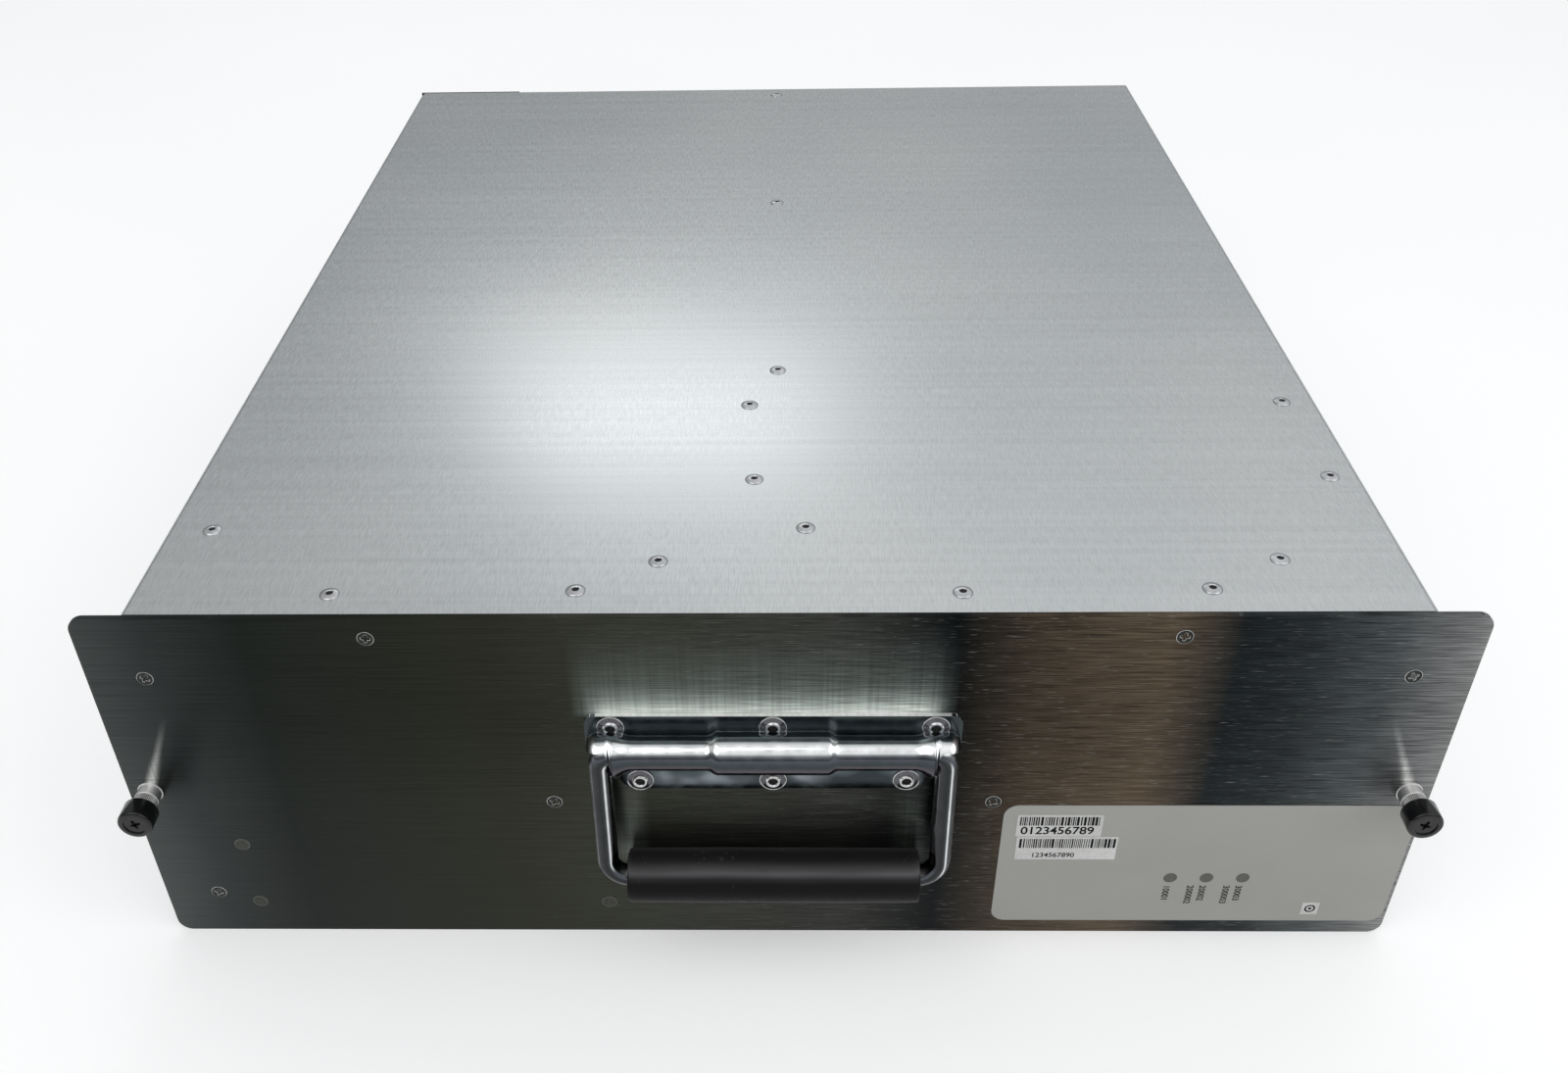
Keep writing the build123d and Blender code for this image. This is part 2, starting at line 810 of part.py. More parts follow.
def motor_strap(side):
    """A flat plate across the blower, wide over the motor and narrowing to a stud at each end."""
    x = blower_xs[side]
    near = Pos(*near_stud_offset) * Circle(strap_near_r)
    far = Pos(*far_stud_offset) * Circle(strap_far_r)
    middle = Circle(stator_flange_r + strap_thick)
    outline = make_hull(near.edges() + far.edges() + middle.edges())
    strap = Pos(x, blower_y, strap_bottom) * extrude(outline, strap_thick)
    cut_low = strap_bottom - overrun
    cut = strap_thick + 2 * overrun
    for dx, dy in (near_stud_offset, far_stud_offset):
        strap -= Pos(x + dx, blower_y + dy, cut_low) * drum(stud_r + snug, cut)
    for sx, sy in motor_screw_places(x):
        strap -= Pos(sx, sy, cut_low) * drum(screw_r + snug, cut)
    return strap - Pos(x, blower_y, cut_low) * drum(shaft_r + overrun, cut)


def roof_studs():
    """Flush-headed studs through the cover that hold the motor straps."""
    reach = sheet + strap_thick + board_nut_h + stud_r / 2
    stud = Pos(0, 0, -stud_head_h) * drum(stud_head_r, stud_head_h) + Pos(0, 0, -reach) * drum(stud_r, reach)
    return group([Pos(x, y, panel_height) * stud for x, y in roof_stud_places()])


def hex_nut(radius, height, bore):
    """A nut whose flats are its radius away from the axis."""
    return extrude(RegularPolygon(radius, nut_side_count, major_radius=False), height) - drum(bore, height)


def strap_nuts():
    """Hexagon nuts on the studs, under the motor straps."""
    nut = hex_nut(strap_nut_r, board_nut_h, stud_r + snug)
    return group([Pos(x, y, strap_bottom - board_nut_h) * nut for x, y in roof_stud_places()])


def motor_screws():
    """Pan-head screws up through the stators' flanges into the straps."""
    low = strap_bottom - stator_flange_thick
    screw = Pos(0, 0, -screw_r) * drum(screw_head_r, screw_r)
    screw += drum(screw_r, stator_flange_thick + strap_thick - seat_gap)
    return group([Pos(x, y, low) * screw for bx in blower_xs.values() for x, y in motor_screw_places(bx)])


def inlet_ring(side):
    """A bell-mouthed ring under the deck that leads air into the wheel's eye."""
    low = deck_bottom - inlet_sheet
    centre = (inlet_hole_r, low + inlet_mouth_r)
    top = centre[1] + inlet_lip
    air = CenterArc(centre, inlet_mouth_r, 180, 90)
    back = CenterArc(centre, inlet_mouth_r - inlet_sheet, 180, 90)
    lip = Polyline(air @ 0, (inlet_throat_r, top), (inlet_throat_r + inlet_sheet, top), back @ 0)
    flange = Polyline(air @ 1, (inlet_flange_r, low), (inlet_flange_r, low + inlet_sheet), back @ 1)
    ring = revolve(Plane.XZ * make_face([air, back, lip, flange]), Axis.Z)
    ring = Pos(blower_xs[side], blower_y, 0) * ring
    for x, y in guard_screw_places(blower_xs[side]):
        ring -= Pos(x, y, low - overrun) * drum(guard_screw_r + snug, inlet_sheet + 2 * overrun)
    return ring


def guard_screw_places(x):
    """The four screws that hold one inlet's guard and ring to the deck."""
    return ring_places(x, guard_foot_r, guard_first_deg)


def inlet_guard(side):
    """A flat finger guard stamped from sheet: rings on two crossed ribs that end in screw feet."""
    outline = Rectangle(2 * guard_foot_r, guard_rib) + Rectangle(guard_rib, 2 * guard_foot_r)
    for radius in guard_ring_rs:
        outline += Circle(radius + guard_rib / 2) - Circle(radius - guard_rib / 2)
    for angle in (0, 90, 180, 270):
        outline += Pos(*polar(guard_foot_r, angle)) * Circle(guard_foot_half)
    for angle in (0, 90, 180, 270):
        outline -= Pos(*polar(guard_foot_r, angle)) * Circle(guard_screw_r + snug)
    low = deck_bottom - inlet_sheet - guard_thick
    return Pos(blower_xs[side], blower_y, low) * extrude(Rot(0, 0, guard_first_deg) * outline, guard_thick)


def guard_screws():
    """Screws up through the guard's eyes and the ring into the deck."""
    top = deck_z
    low = deck_bottom - inlet_sheet - guard_thick
    screw = Pos(0, 0, -screw_r) * drum(screw_head_r, screw_r) + drum(guard_screw_r, top - low)
    return group([Pos(x, y, low) * screw for bx in blower_xs.values() for x, y in guard_screw_places(bx)])


def centre_divider():
    """The wall between the outlets, flanged at its foot and top, with a tab under the back flange."""
    left = divider_x - divider_thick / 2
    right = divider_x + divider_thick / 2
    far = right + divider_flange
    flange_end = rear_front - rear_flange - bend_r
    tab_top = roof_z - rear_thick
    wall = block(left, right, divider_start, rear_front, deck_z, tab_top)
    wall += block(left, far, divider_start, rear_front, deck_z, deck_z + divider_thick)
    wall += block(left, right, divider_start, flange_end, deck_z, roof_z)
    wall += block(left, far, divider_start, flange_end, roof_z - divider_thick, roof_z)
    wall += block(left, far, flange_end + bend_r, rear_front, tab_top - divider_thick, tab_top)
    through = drum(rivet_r + snug, rear_flange)
    for y in divider_rivet_ys:
        wall -= Pos(divider_rivet_x, y, roof_z - rear_flange / 2) * through
    for y in divider_rivet_ys[:-1]:
        wall -= Pos(divider_rivet_x, y, deck_z - rear_flange / 2) * through
    return wall


def outlet_bounds():
    """Left, right, bottom and top of the two exhaust openings."""
    middle = divider_thick + outlet_margin
    low = deck_z + outlet_margin / 2
    high = roof_z - outlet_margin / 2
    return [
        (-inner_half + outlet_margin, divider_x - middle, low, high),
        (divider_x + middle, inner_half - outlet_margin, low, high),
    ]


def rear_frame():
    """The back wall, with two exhaust openings, a connector cut-out and flanges to the cover."""
    height = roof_z - floor_z
    corner = 2 * bend_r
    wall = plate_xz(2 * inner_half, height, corner, rear_front, body_back, z=floor_z + height / 2)
    for x0, x1, z0, z1 in outlet_bounds():
        wall -= block(x0, x1, rear_front - overrun, body_back + overrun, z0, z1)
    start = rear_front - rear_flange
    for side in sides.values():
        edge = sorted((side * inner_half, side * (inner_half - rear_thick)))
        wall += block(*edge, start, rear_front, floor_z + corner, deck_bottom - corner)
        wall += block(*edge, start, rear_front, deck_z + corner, roof_z - corner)
    half = inner_half - corner
    wall += block(-half, half, start, rear_front, roof_z - rear_thick, roof_z)
    roof_hole = drum(rivet_r + snug, 2 * rear_flange)
    wall -= Pos(divider_rivet_x, divider_rivet_ys[-1], roof_z - rear_flange) * roof_hole
    hole = facing_right(drum(rivet_r + snug, rear_thick + 2 * overrun))
    for y, z in rear_rivet_spots():
        cutter = Pos(inner_half - rear_thick - overrun, y, z) * hole
        wall = wall - cutter - mirrored(cutter)
    half_w = connector_width / 2 + seat_gap
    half_h = connector_height / 2 + seat_gap
    wall -= block(
        connector_x - half_w,
        connector_x + half_w,
        rear_front - overrun,
        body_back + overrun,
        connector_z - half_h,
        connector_z + half_h,
    )
    guide_hole = facing_back(drum(guide_r + guide_wall + snug, rear_thick + 2 * overrun))
    for side in sides.values():
        x = connector_x + side * guide_spacing / 2
        wall -= Pos(x, rear_front - overrun, connector_z) * guide_hole
    return wall


def exhaust_grille(side):
    """A slotted sheet behind one exhaust opening."""
    x0, x1, z0, z1 = outlet_bounds()[0 if side == "left" else 1]
    back = rear_front
    front = back - grille_thick
    edge = grille_border / 2
    grille = block(x0 - edge, x1 + edge, front, back, z0 - edge, z1 + edge)
    slots = int((x1 - x0 - grille_border) // grille_pitch)
    first = (x0 + x1 - (slots - 1) * grille_pitch) / 2
    slot_half = (grille_pitch - grille_bar) / 2
    middle = (z0 + z1) / 2
    cutters = []
    for index in range(slots):
        x = first + index * grille_pitch
        for low, high in ((z0 + edge, middle - grille_bar / 2), (middle + grille_bar / 2, z1 - edge)):
            cutters.append(block(x - slot_half, x + slot_half, front - overrun, back + overrun, low, high))
    return grille - cutters


def rear_connector():
    """A blind-mate shell that pushes through the rear frame, open to the back."""
    half_w = connector_width / 2
    half_h = connector_height / 2
    front = body_back - connector_depth
    end = body_back + gasket_thick
    shell = Pos(connector_x, 0, connector_z) * block(-half_w, half_w, front, end, -half_h, half_h)
    shell = fillet(shell.edges().filter_by(Axis.Y), connector_wall)
    half_w -= connector_wall
    half_h -= connector_wall
    floor = front + connector_plate
    shell -= Pos(connector_x, 0, connector_z) * block(-half_w, half_w, floor, end + overrun, -half_h, half_h)
    pin_hole = facing_back(drum(connector_pin_r + snug, connector_plate + 2 * overrun))
    for x, z in connector_pin_places():
        shell -= Pos(x, front - overrun, z) * pin_hole
    return shell


def connector_pin_places():
    """Two rows of pins, as places on the connector's plate."""
    first = connector_x - (connector_pins_across - 1) * connector_pin_pitch / 2
    return [
        (first + column * connector_pin_pitch, connector_z + row * connector_pin_pitch / 2)
        for column in range(connector_pins_across)
        for row in (-1, 1)
    ]


def connector_pins():
    """Contact pins through the connector's floor."""
    front = body_back - connector_depth - connector_plate
    length = connector_depth
    pin = drum(connector_pin_r, length)
    return group([Pos(x, front, z) * facing_back(pin) for x, z in connector_pin_places()])


def connector_bracket():
    """A plate inside the rear frame that holds the connector and its two guide bushes."""
    back = rear_front
    front = back - connector_plate
    width = guide_spacing + 4 * (guide_r + guide_wall)
    height = connector_height + 2 * (guide_r + guide_wall)
    plate = plate_xz(width, height, guide_r, front, back, x=connector_x, z=connector_z)
    plate -= block(
        connector_x - connector_width / 2 - snug,
        connector_x + connector_width / 2 + snug,
        front - overrun,
        back + overrun,
        connector_z - connector_height / 2 - snug,
        connector_z + connector_height / 2 + snug,
    )
    for side in sides.values():
        cut = facing_back(drum(guide_r + guide_wall + snug, connector_plate + 2 * overrun))
        plate -= Pos(connector_x + side * guide_spacing / 2, front - overrun, connector_z) * cut
    return plate


def guide_bushes():
    """Two bushes beside the connector that take the chassis's guide pins."""
    start = rear_front - connector_plate - guide_flange_thick
    end = body_back + gasket_thick
    bush = drum(guide_r + guide_wall, end - start)
    bush += drum(guide_r + 2 * guide_wall, guide_flange_thick)
    bush -= Pos(0, 0, -overrun) * drum(guide_r, end - start + 2 * overrun)
    bush = Pos(0, start, connector_z) * facing_back(bush)
    return group([Pos(connector_x + side * guide_spacing / 2, 0, 0) * bush for side in sides.values()])


def rear_gasket():
    """A strip of black foam stuck to the back edge, at the top left."""
    right = gasket_width - body_half
    low = panel_height - gasket_height
    return block(-body_half, right, body_back, body_back + gasket_thick, low, panel_height)


def bead_body(inset):
    """The round bead with its wider middle, or the hollow inside it, turned about its own length."""
    low_r = bead_r - inset
    high_r = bead_middle_r - inset
    blend = bead_middle_half + bead_step
    right = [(high_r, bead_middle_half), (low_r, blend), (low_r, bead_half)]
    left = [(r, -x) for r, x in reversed(right)]
    return facing_right(turned((0, -bead_half), *left, *right, (0, bead_half)))


def plate_part(width, far_z, corner_r):
    """One flat flange of the handle plate, from the bail's axis to its far edge with rounded corners."""
    height = 2 * abs(far_z - handle_z)
    flange = plate_xz(width, height, corner_r, -handle_plate_thick, 0, z=handle_z)
    low, high = sorted((2 * handle_z - far_z, handle_z))
    return flange - block(-width, width, -handle_plate_thick - overrun, overrun, low, high)


def handle_ears():
    """The two hoods over the bail's corners, open below and in front so that the legs can swing."""
    half = (ear_half - bead_half) / 2
    ring = drum(ear_r, 2 * half) - drum(ear_inner, 2 * half)
    opening = degrees(asin((rod_r + seat_gap) / ear_inner))
    below = Rot(-opening, 0, 0) * block(-overrun, 2 * half + overrun, -2 * ear_r, 2 * ear_r, -2 * ear_r, 0)
    hood = facing_right(ring) - below
    hood -= block(-overrun, 2 * half + overrun, pivot_offset - handle_plate_thick, 2 * ear_r, -ear_r, ear_r)
    end = facing_right(drum(ear_r, handle_plate_thick)) - block(
        -overrun, handle_plate_thick + overrun, -2 * ear_r, 2 * ear_r, -2 * ear_r, rod_r + seat_gap
    )
    end -= block(-overrun, handle_plate_thick + overrun, pivot_offset, 2 * ear_r, -ear_r, ear_r)
    return Pos(bead_half, 0, 0) * hood, Pos(bead_half - handle_plate_thick, 0, 0) * end


def handle_plate():
    """The stamped plate: a flat top flange, a bead over the bail's rod and a narrower lower flange."""
    axis = Pos(0, -pivot_offset, handle_z)
    plate = plate_part(2 * ear_half, handle_plate_top, handle_corner_r)
    plate += plate_part(handle_lower_width, handle_plate_bottom, handle_lower_corner_r)
    plate += axis * bead_body(0)
    hood, end = handle_ears()
    plate += axis * hood
    plate += axis * mirrored(hood)
    plate += axis * end
    plate += axis * mirrored(end)
    plate -= block(-ear_half, ear_half, 0, ear_r + bead_r, 0, panel_height)
    plate -= axis * bead_body(handle_plate_thick)
    crease = sqrt(bead_r**2 - (pivot_offset - handle_plate_thick) ** 2) - handle_plate_thick
    reach = ear_half + overrun
    plate -= block(-reach, reach, -pivot_offset, overrun, handle_z - crease, handle_z + crease)
    seat = facing_back(drum(handle_rivet_head_r + snug, bead_r))
    for x, z in handle_rivet_places():
        plate -= Pos(x, -handle_plate_thick - bead_r, z) * seat
        plate -= Pos(x, -handle_plate_thick - overrun, z) * facing_back(
            drum(handle_rivet_r + snug, handle_plate_thick + 2 * overrun)
        )
    return plate


def bail():
    """The bent rod of the handle: a pivot bar, two legs and ends that meet inside the grip."""
    points = [
        (-bail_end_gap / 2, 0, -leg_length),
        (-leg_x, 0, -leg_length),
        (-leg_x, 0, 0),
        (leg_x, 0, 0),
        (leg_x, 0, -leg_length),
        (bail_end_gap / 2, 0, -leg_length),
    ]
    path = FilletPolyline(*points, radius=[bail_bottom_r, bail_top_r, bail_top_r, bail_bottom_r])
    section = Plane(origin=path @ 0, z_dir=path % 0) * Circle(rod_r)
    return at_handle_rest(sweep(section, path=path))


def at_handle_rest(shape):
    """Puts a shape of the bail, made hanging from the origin, at its place against the panel."""
    return Pos(0, -pivot_offset, handle_z) * Rot(-rest_tilt, 0, 0) * shape


def grip():
    """The rubber sleeve on the bail, its bore opened at both ends for the rod's bends."""
    tube = drum(grip_r, grip_length) - drum(rod_r + snug, grip_length)
    tube = fillet(tube.edges().filter_by(GeomType.CIRCLE).sort_by(SortBy.RADIUS)[-2:], grip_edge_r)
    mouth = drum(rod_r + seat_gap, grip_mouth + overrun)
    tube = tube - Pos(0, 0, -overrun) * mouth - Pos(0, 0, grip_length - grip_mouth) * mouth
    return at_handle_rest(Pos(-grip_length / 2, 0, -leg_length) * facing_right(tube))


def coil(radius, wire, length, turns):
    """A square-wire coil spring that stands on the origin."""
    path = Helix(pitch=length / turns, height=length, radius=radius)
    section = Plane(origin=path @ 0, z_dir=path % 0) * Rectangle(wire, wire)
    return sweep(section, path=path, is_frenet=True)


def handle_spring():
    """The two coils round the pivot bar in the middle of the bead, which hold the bail down."""
    start = handle_rivet_head_r + seat_gap + handle_spring_wire
    length = bead_middle_half - handle_spring_wire - start
    radius = rod_r + seat_gap * 3 / 2 + handle_spring_wire / 2
    right = Pos(start, 0, 0) * facing_right(coil(radius, handle_spring_wire, length, handle_spring_turns))
    return Pos(0, -pivot_offset, handle_z) * group([mirrored(right), right])


def handle_rivets():
    """Six large blind rivets through the handle plate and the panel."""
    hold = handle_plate_thick + panel_thick
    rivet = turned(
        (0, -handle_rivet_head_h / 2),
        (handle_rivet_r / 2, -handle_rivet_head_h / 2),
        (handle_rivet_r * 2 / 3, -handle_rivet_head_h),
        (handle_rivet_r, -handle_rivet_head_h * crown_share),
        (handle_rivet_head_r * crown_share, -handle_rivet_head_h / 3),
        (handle_rivet_head_r, 0),
        (handle_rivet_r, 0),
        (handle_rivet_r, hold),
        (handle_rivet_bulb_r, hold),
        (handle_rivet_bulb_r, hold + handle_rivet_bulb_h),
        (0, hold + handle_rivet_bulb_h),
    )
    return group([Pos(x, -handle_plate_thick, z) * facing_back(rivet) for x, z in handle_rivet_places()])


def at_captive(side, shape):
    """Puts a shape made along +Z on a captive screw's axis, with z as depth behind the panel's face."""
    return Pos(sides[side] * captive_x, 0, captive_z) * facing_back(shape)


def screw_ferrule(side):
    """The pressed-in sleeve that guides a captive screw and holds its spring."""
    back = panel_thick + ferrule_clinch
    sleeve = turned(
        (captive_shank_r + shaft_fit, back),
        (ferrule_shoulder_r, back),
        (ferrule_shoulder_r, 0),
        (ferrule_r, 0),
        (ferrule_r, -ferrule_length),
        (ferrule_bore_r, -ferrule_length),
        (ferrule_bore_r, ferrule_floor),
        (captive_shank_r + shaft_fit, ferrule_floor),
    )
    return at_captive(side, sleeve)


def captive_screw(side):
    """The screw: a thin shank through the ferrule's floor and a thread behind the panel."""
    start = panel_thick + ferrule_clinch + seat_gap
    end = start + captive_thread_length
    screw = turned(
        (0, -knob_screw_end),
        (captive_shank_r, -knob_screw_end),
        (captive_shank_r, start),
        (captive_thread_r, start),
        (captive_thread_r, end - captive_thread_r / 3),
        (captive_thread_r * 2 / 3, end),
        (0, end),
    )
    return at_captive(side, screw)


def screw_knob(side):
    """The knob on the screw's end, with a skirt over the ferrule, a boss on the shank and a driver cross."""
    floor = knob_end - knob_recess_depth
    knob = turned(
        (0, -floor),
        (knob_recess_r, -floor),
        (knob_recess_r, -knob_end),
        (knob_r - knob_chamfer, -knob_end),
        (knob_r, -knob_end + knob_chamfer),
        (knob_r, -knob_start - knob_chamfer / 2),
        (knob_r - knob_chamfer / 2, -knob_start),
        (knob_cavity_r, -knob_start),
        (knob_cavity_r, -knob_cavity_end),
        (knob_boss_r, -knob_cavity_end),
        (knob_boss_r, -captive_washer_depth - captive_washer_thick),
        (captive_shank_r + snug, -captive_washer_depth - captive_washer_thick),
        (captive_shank_r + snug, -knob_screw_end),
        (0, -knob_screw_end),
    )
    half = knob_slot_width / 2
    slot = block(-knob_slot_r, knob_slot_r, -half, half, -floor - overrun, -floor + knob_slot_depth)
    return at_captive(side, knob - slot - Rot(0, 0, 90) * slot)


def screw_washer(side):
    """The thrust washer between a captive screw's spring and its knob."""
    washer = drum(captive_washer_r, captive_washer_thick)
    washer -= drum(captive_shank_r + shaft_fit, captive_washer_thick)
    return at_captive(side, Pos(0, 0, -captive_washer_depth - captive_washer_thick) * washer)


def screw_spring(side):
    """The coil between the ferrule's floor and the thrust washer, at its rest length."""
    margin = captive_spring_wire / 2 + snug
    low = -captive_washer_depth + margin
    length = ferrule_floor - margin - low
    spring = coil(captive_spring_r, captive_spring_wire, length, captive_spring_turns)
    return at_captive(side, Pos(0, 0, low) * spring)


def label_overlay():
    """The thin plastic label on the panel, cut out for three lights."""
    x0, x1 = label_x
    z0, z1 = label_z
    label = plate_xz(x1 - x0, z1 - z0, label_corner_r, -label_thick, 0, x=(x0 + x1) / 2, z=(z0 + z1) / 2)
    window = facing_back(drum(led_window_r + snug, label_thick + 2 * overrun))
    for x in led_xs:
        label -= Pos(x, -label_thick - overrun, led_z) * window
    return label


def led_windows():
    window = facing_back(drum(led_window_r, label_thick))
    return group([Pos(x, -label_thick, led_z) * window for x in led_xs])


def label_stickers():
    """Two paper strips on the label and a small square mark."""
    strips = []
    for (x0, x1), (z0, z1) in sticker_bounds:
        strips.append(block(x0, x1, -label_thick - sticker_thick, -label_thick, z0, z1))
    return group(strips)


def led_lights():
    """Three round lamps on the lamp board that stand in the panel's holes."""
    start = panel_back + led_board_gap
    tip = led_length + led_r / 2
    lamp = turned((0, 0), (led_r, 0), (led_r, -led_length), (led_r / 2, -tip), (0, -tip))
    return group([Pos(x, start, led_z) * facing_back(lamp) for x in led_xs])


def led_board():
    """The lamp board on two posts behind the panel."""
    front = panel_back + led_board_gap
    centre = led_xs[1]
    back = front + board_thick
    board = plate_xz(led_board_width, led_board_height, board_thick, front, back, x=centre, z=led_z)
    half = led_board_width / 2 - board_spacer_r
    for x in (centre - half, centre + half):
        board += Pos(x, panel_back, led_z) * facing_back(drum(board_spacer_r, led_board_gap))
    return board


def board_bounds():
    """Left, right, bottom and top of the controller board."""
    return (
        board_stud_xs[0] - board_margin,
        board_stud_xs[1] + board_margin,
        board_stud_zs[0] - board_margin,
        board_stud_zs[1] + board_margin,
    )


def controller_board():
    """The board that drives both blowers, with a hole at each stud."""
    x0, x1, z0, z1 = board_bounds()
    front = panel_back + board_gap
    back = front + board_thick
    board = plate_xz(x1 - x0, z1 - z0, board_thick, front, back, x=(x0 + x1) / 2, z=(z0 + z1) / 2)
    stud_hole = facing_back(drum(panel_stud_r + snug, board_thick + 2 * overrun))
    for x, z in board_stud_places():
        board -= Pos(x, front - overrun, z) * stud_hole
    return board


def panel_studs():
    """Flush-headed studs through the panel that carry the controller board."""
    stud = drum(panel_stud_head_r, panel_stud_head_h) + drum(panel_stud_r, panel_stud_length)
    return group([Pos(x, 0, z) * facing_back(stud) for x, z in board_stud_places()])


def board_spacers():
    ring = drum(board_spacer_r, board_gap) - drum(panel_stud_r + snug, board_gap)
    return group([Pos(x, panel_back, z) * facing_back(ring) for x, z in board_stud_places()])


def board_nuts():
    start = panel_back + board_gap + board_thick
    nut = hex_nut(board_nut_r, board_nut_h, panel_stud_r + snug)
    return group([Pos(x, start, z) * facing_back(nut) for x, z in board_stud_places()])




def board_place(x_share, z_share):
    """A place on the controller board's back face, as x, y and z."""
    x0, x1, z0, z1 = board_bounds()
    return x0 + (x1 - x0) * x_share, panel_back + board_gap + board_thick, z0 + (z1 - z0) * z_share


def on_board(x_share, z_share):
    """Moves a shape made at the origin onto the board's back face."""
    return Pos(*board_place(x_share, z_share))


def board_header():
    """A shrouded wire-to-board socket, open to the back."""
    width, depth, height = header_size
    half_w = width / 2
    half_h = height / 2
    shroud = block(-half_w, half_w, 0, depth, -half_h, half_h)
    half_w -= header_wall
    half_h -= header_wall
    return shroud - block(-half_w, half_w, header_wall, depth + overrun, -half_h, half_h)


def heat_sink():
    """A finned extrusion standing on the board."""
    width, depth, height = sink_size
    base = depth * sink_base_share
    body = block(-width / 2, width / 2, 0, base, -height / 2, height / 2)
    pitch = width / sink_fins
    fin = pitch / 3
    for index in range(sink_fins):
        x = -width / 2 + index * (width - fin) / (sink_fins - 1)
        body += block(x, x + fin, 0, depth, -height / 2, height / 2)
    return body


def board_parts():
    """Capacitors, headers, a heat sink and a chip on the controller board."""
    can = facing_back(drum(capacitor_r, capacitor_length))
    can = chamfer(can.edges().sort_by(Axis.Y)[-1], capacitor_r * capacitor_rim_share)
    parts = [on_board(share, 1 / 2) * can for share in capacitor_x_shares]
    parts += [on_board(*shares) * board_header() for shares in header_shares.values()]
    parts.append(on_board(sink_x_share, 1 / 2) * heat_sink())
    width, depth, height = chip_size
    chip = block(-width / 2, width / 2, 0, depth, -height / 2, height / 2)
    parts.append(on_board(chip_x_share, 1 / 2) * chip)
    return group(parts)


def grommet_places():
    """Where each motor's leads go down through the deck."""
    return [(x + grommet_offset[0], blower_y + grommet_offset[1]) for x in blower_xs.values()]


def lead_grommets():
    """Rubber rings that line the lead holes in the deck."""
    hole = grommet_r - grommet_lip - snug
    half = (grommet_thick - deck_thick) / 2
    ring = turned(
        (lead_r + snug, -half),
        (grommet_r, -half),
        (grommet_r, 0),
        (hole, 0),
        (hole, deck_thick),
        (grommet_r, deck_thick),
        (grommet_r, deck_thick + half),
        (lead_r + snug, deck_thick + half),
    )
    return group([Pos(x, y, deck_bottom) * ring for x, y in grommet_places()])


def cord(radius, bend_radius, *points):
    """A round cord of straight runs joined by arcs."""
    path = FilletPolyline(*points, radius=bend_radius)
    section = Plane(origin=path @ 0, z_dir=path % 0) * Circle(radius)
    return sweep(section, path=path)


def fan_cable(side):
    """From the motor over its wheel, down through the deck and forward to the controller board."""
    x = blower_xs[side]
    gx = x + grommet_offset[0]
    gy = blower_y + grommet_offset[1]
    high = strap_bottom - stator_flange_thick - lead_r - seat_gap
    low = deck_bottom - lead_drop
    reach = hypot(*grommet_offset)
    start = stator_tube_r + seat_gap
    hx, hy, hz = board_place(*header_shares[side])
    return cord(
        lead_r,
        lead_bend_r,
        (x + grommet_offset[0] * start / reach, blower_y + grommet_offset[1] * start / reach, high),
        (gx, gy, high),
        (gx, gy, low),
        (gx, lead_front, low),
        (hx, lead_front, low),
        (hx, lead_front, hz),
        (hx, hy + header_wall + seat_gap, hz),
    )


def main_loom():
    """From the controller board along the left wall to the rear connector."""
    hx, hy, hz = board_place(*header_shares["loom"])
    wall_x = -inner_half + loom_wall_gap
    return cord(
        loom_r,
        lead_bend_r,
        (hx, hy + header_wall + seat_gap, hz),
        (hx, loom_front, hz),
        (wall_x, loom_front, hz),
        (wall_x, loom_back, hz),
        (connector_x, loom_back, hz),
        (connector_x, body_back - connector_depth - connector_plate - seat_gap, hz),
    )


def lamp_lead():
    """From the controller board behind the panel to the lamp board."""
    x, y, z = board_place(*lamp_lead_shares)
    end = panel_back + led_board_gap + board_thick
    return cord(
        lamp_lead_r,
        lamp_lead_bend_r,
        (x, y, z),
        (x, lamp_lead_depth, z),
        (led_xs[1], lamp_lead_depth, z),
        (led_xs[1], end, z),
    )


def cable_clips():
    """Clips that hang the fan leads under the deck and hold the loom off the left wall."""
    ring = drum(lead_r + snug + clip_thick, clip_width) - drum(lead_r + snug, clip_width)
    half = lead_r + clip_thick
    low = deck_bottom - lead_drop
    stem = block(-half, half, 0, clip_width, lead_r + clip_thick / 2, lead_drop - clip_thick)
    foot = block(-2 * half, 2 * half, 0, clip_width, lead_drop - clip_thick, lead_drop)
    clip = facing_back(ring) + stem + foot
    clips = [Pos(place[0], y, low) * clip for place in grommet_places() for y in lead_clip_ys]
    half = loom_r + clip_thick
    ring = drum(half + snug, clip_width) - drum(loom_r + snug, clip_width)
    stem = block(-loom_wall_gap + clip_thick, -loom_r - clip_thick / 2, 0, clip_width, -half, half)
    foot = block(-loom_wall_gap, -loom_wall_gap + clip_thick, 0, clip_width, -2 * half, 2 * half)
    clip = facing_back(ring) + stem + foot
    z = board_place(*header_shares["loom"])[2]
    clips += [Pos(-inner_half + loom_wall_gap, y, z) * clip for y in loom_clip_ys]
    return group(clips)


def write(parts):
    """Writes each node, moved so that the origin is the centre of the tray's footprint."""
    os.makedirs("parts", exist_ok=True)
    for name, shape in parts.items():
        export_step(Pos(0, frame_shift, 0) * shape, f"parts/{name}.step")


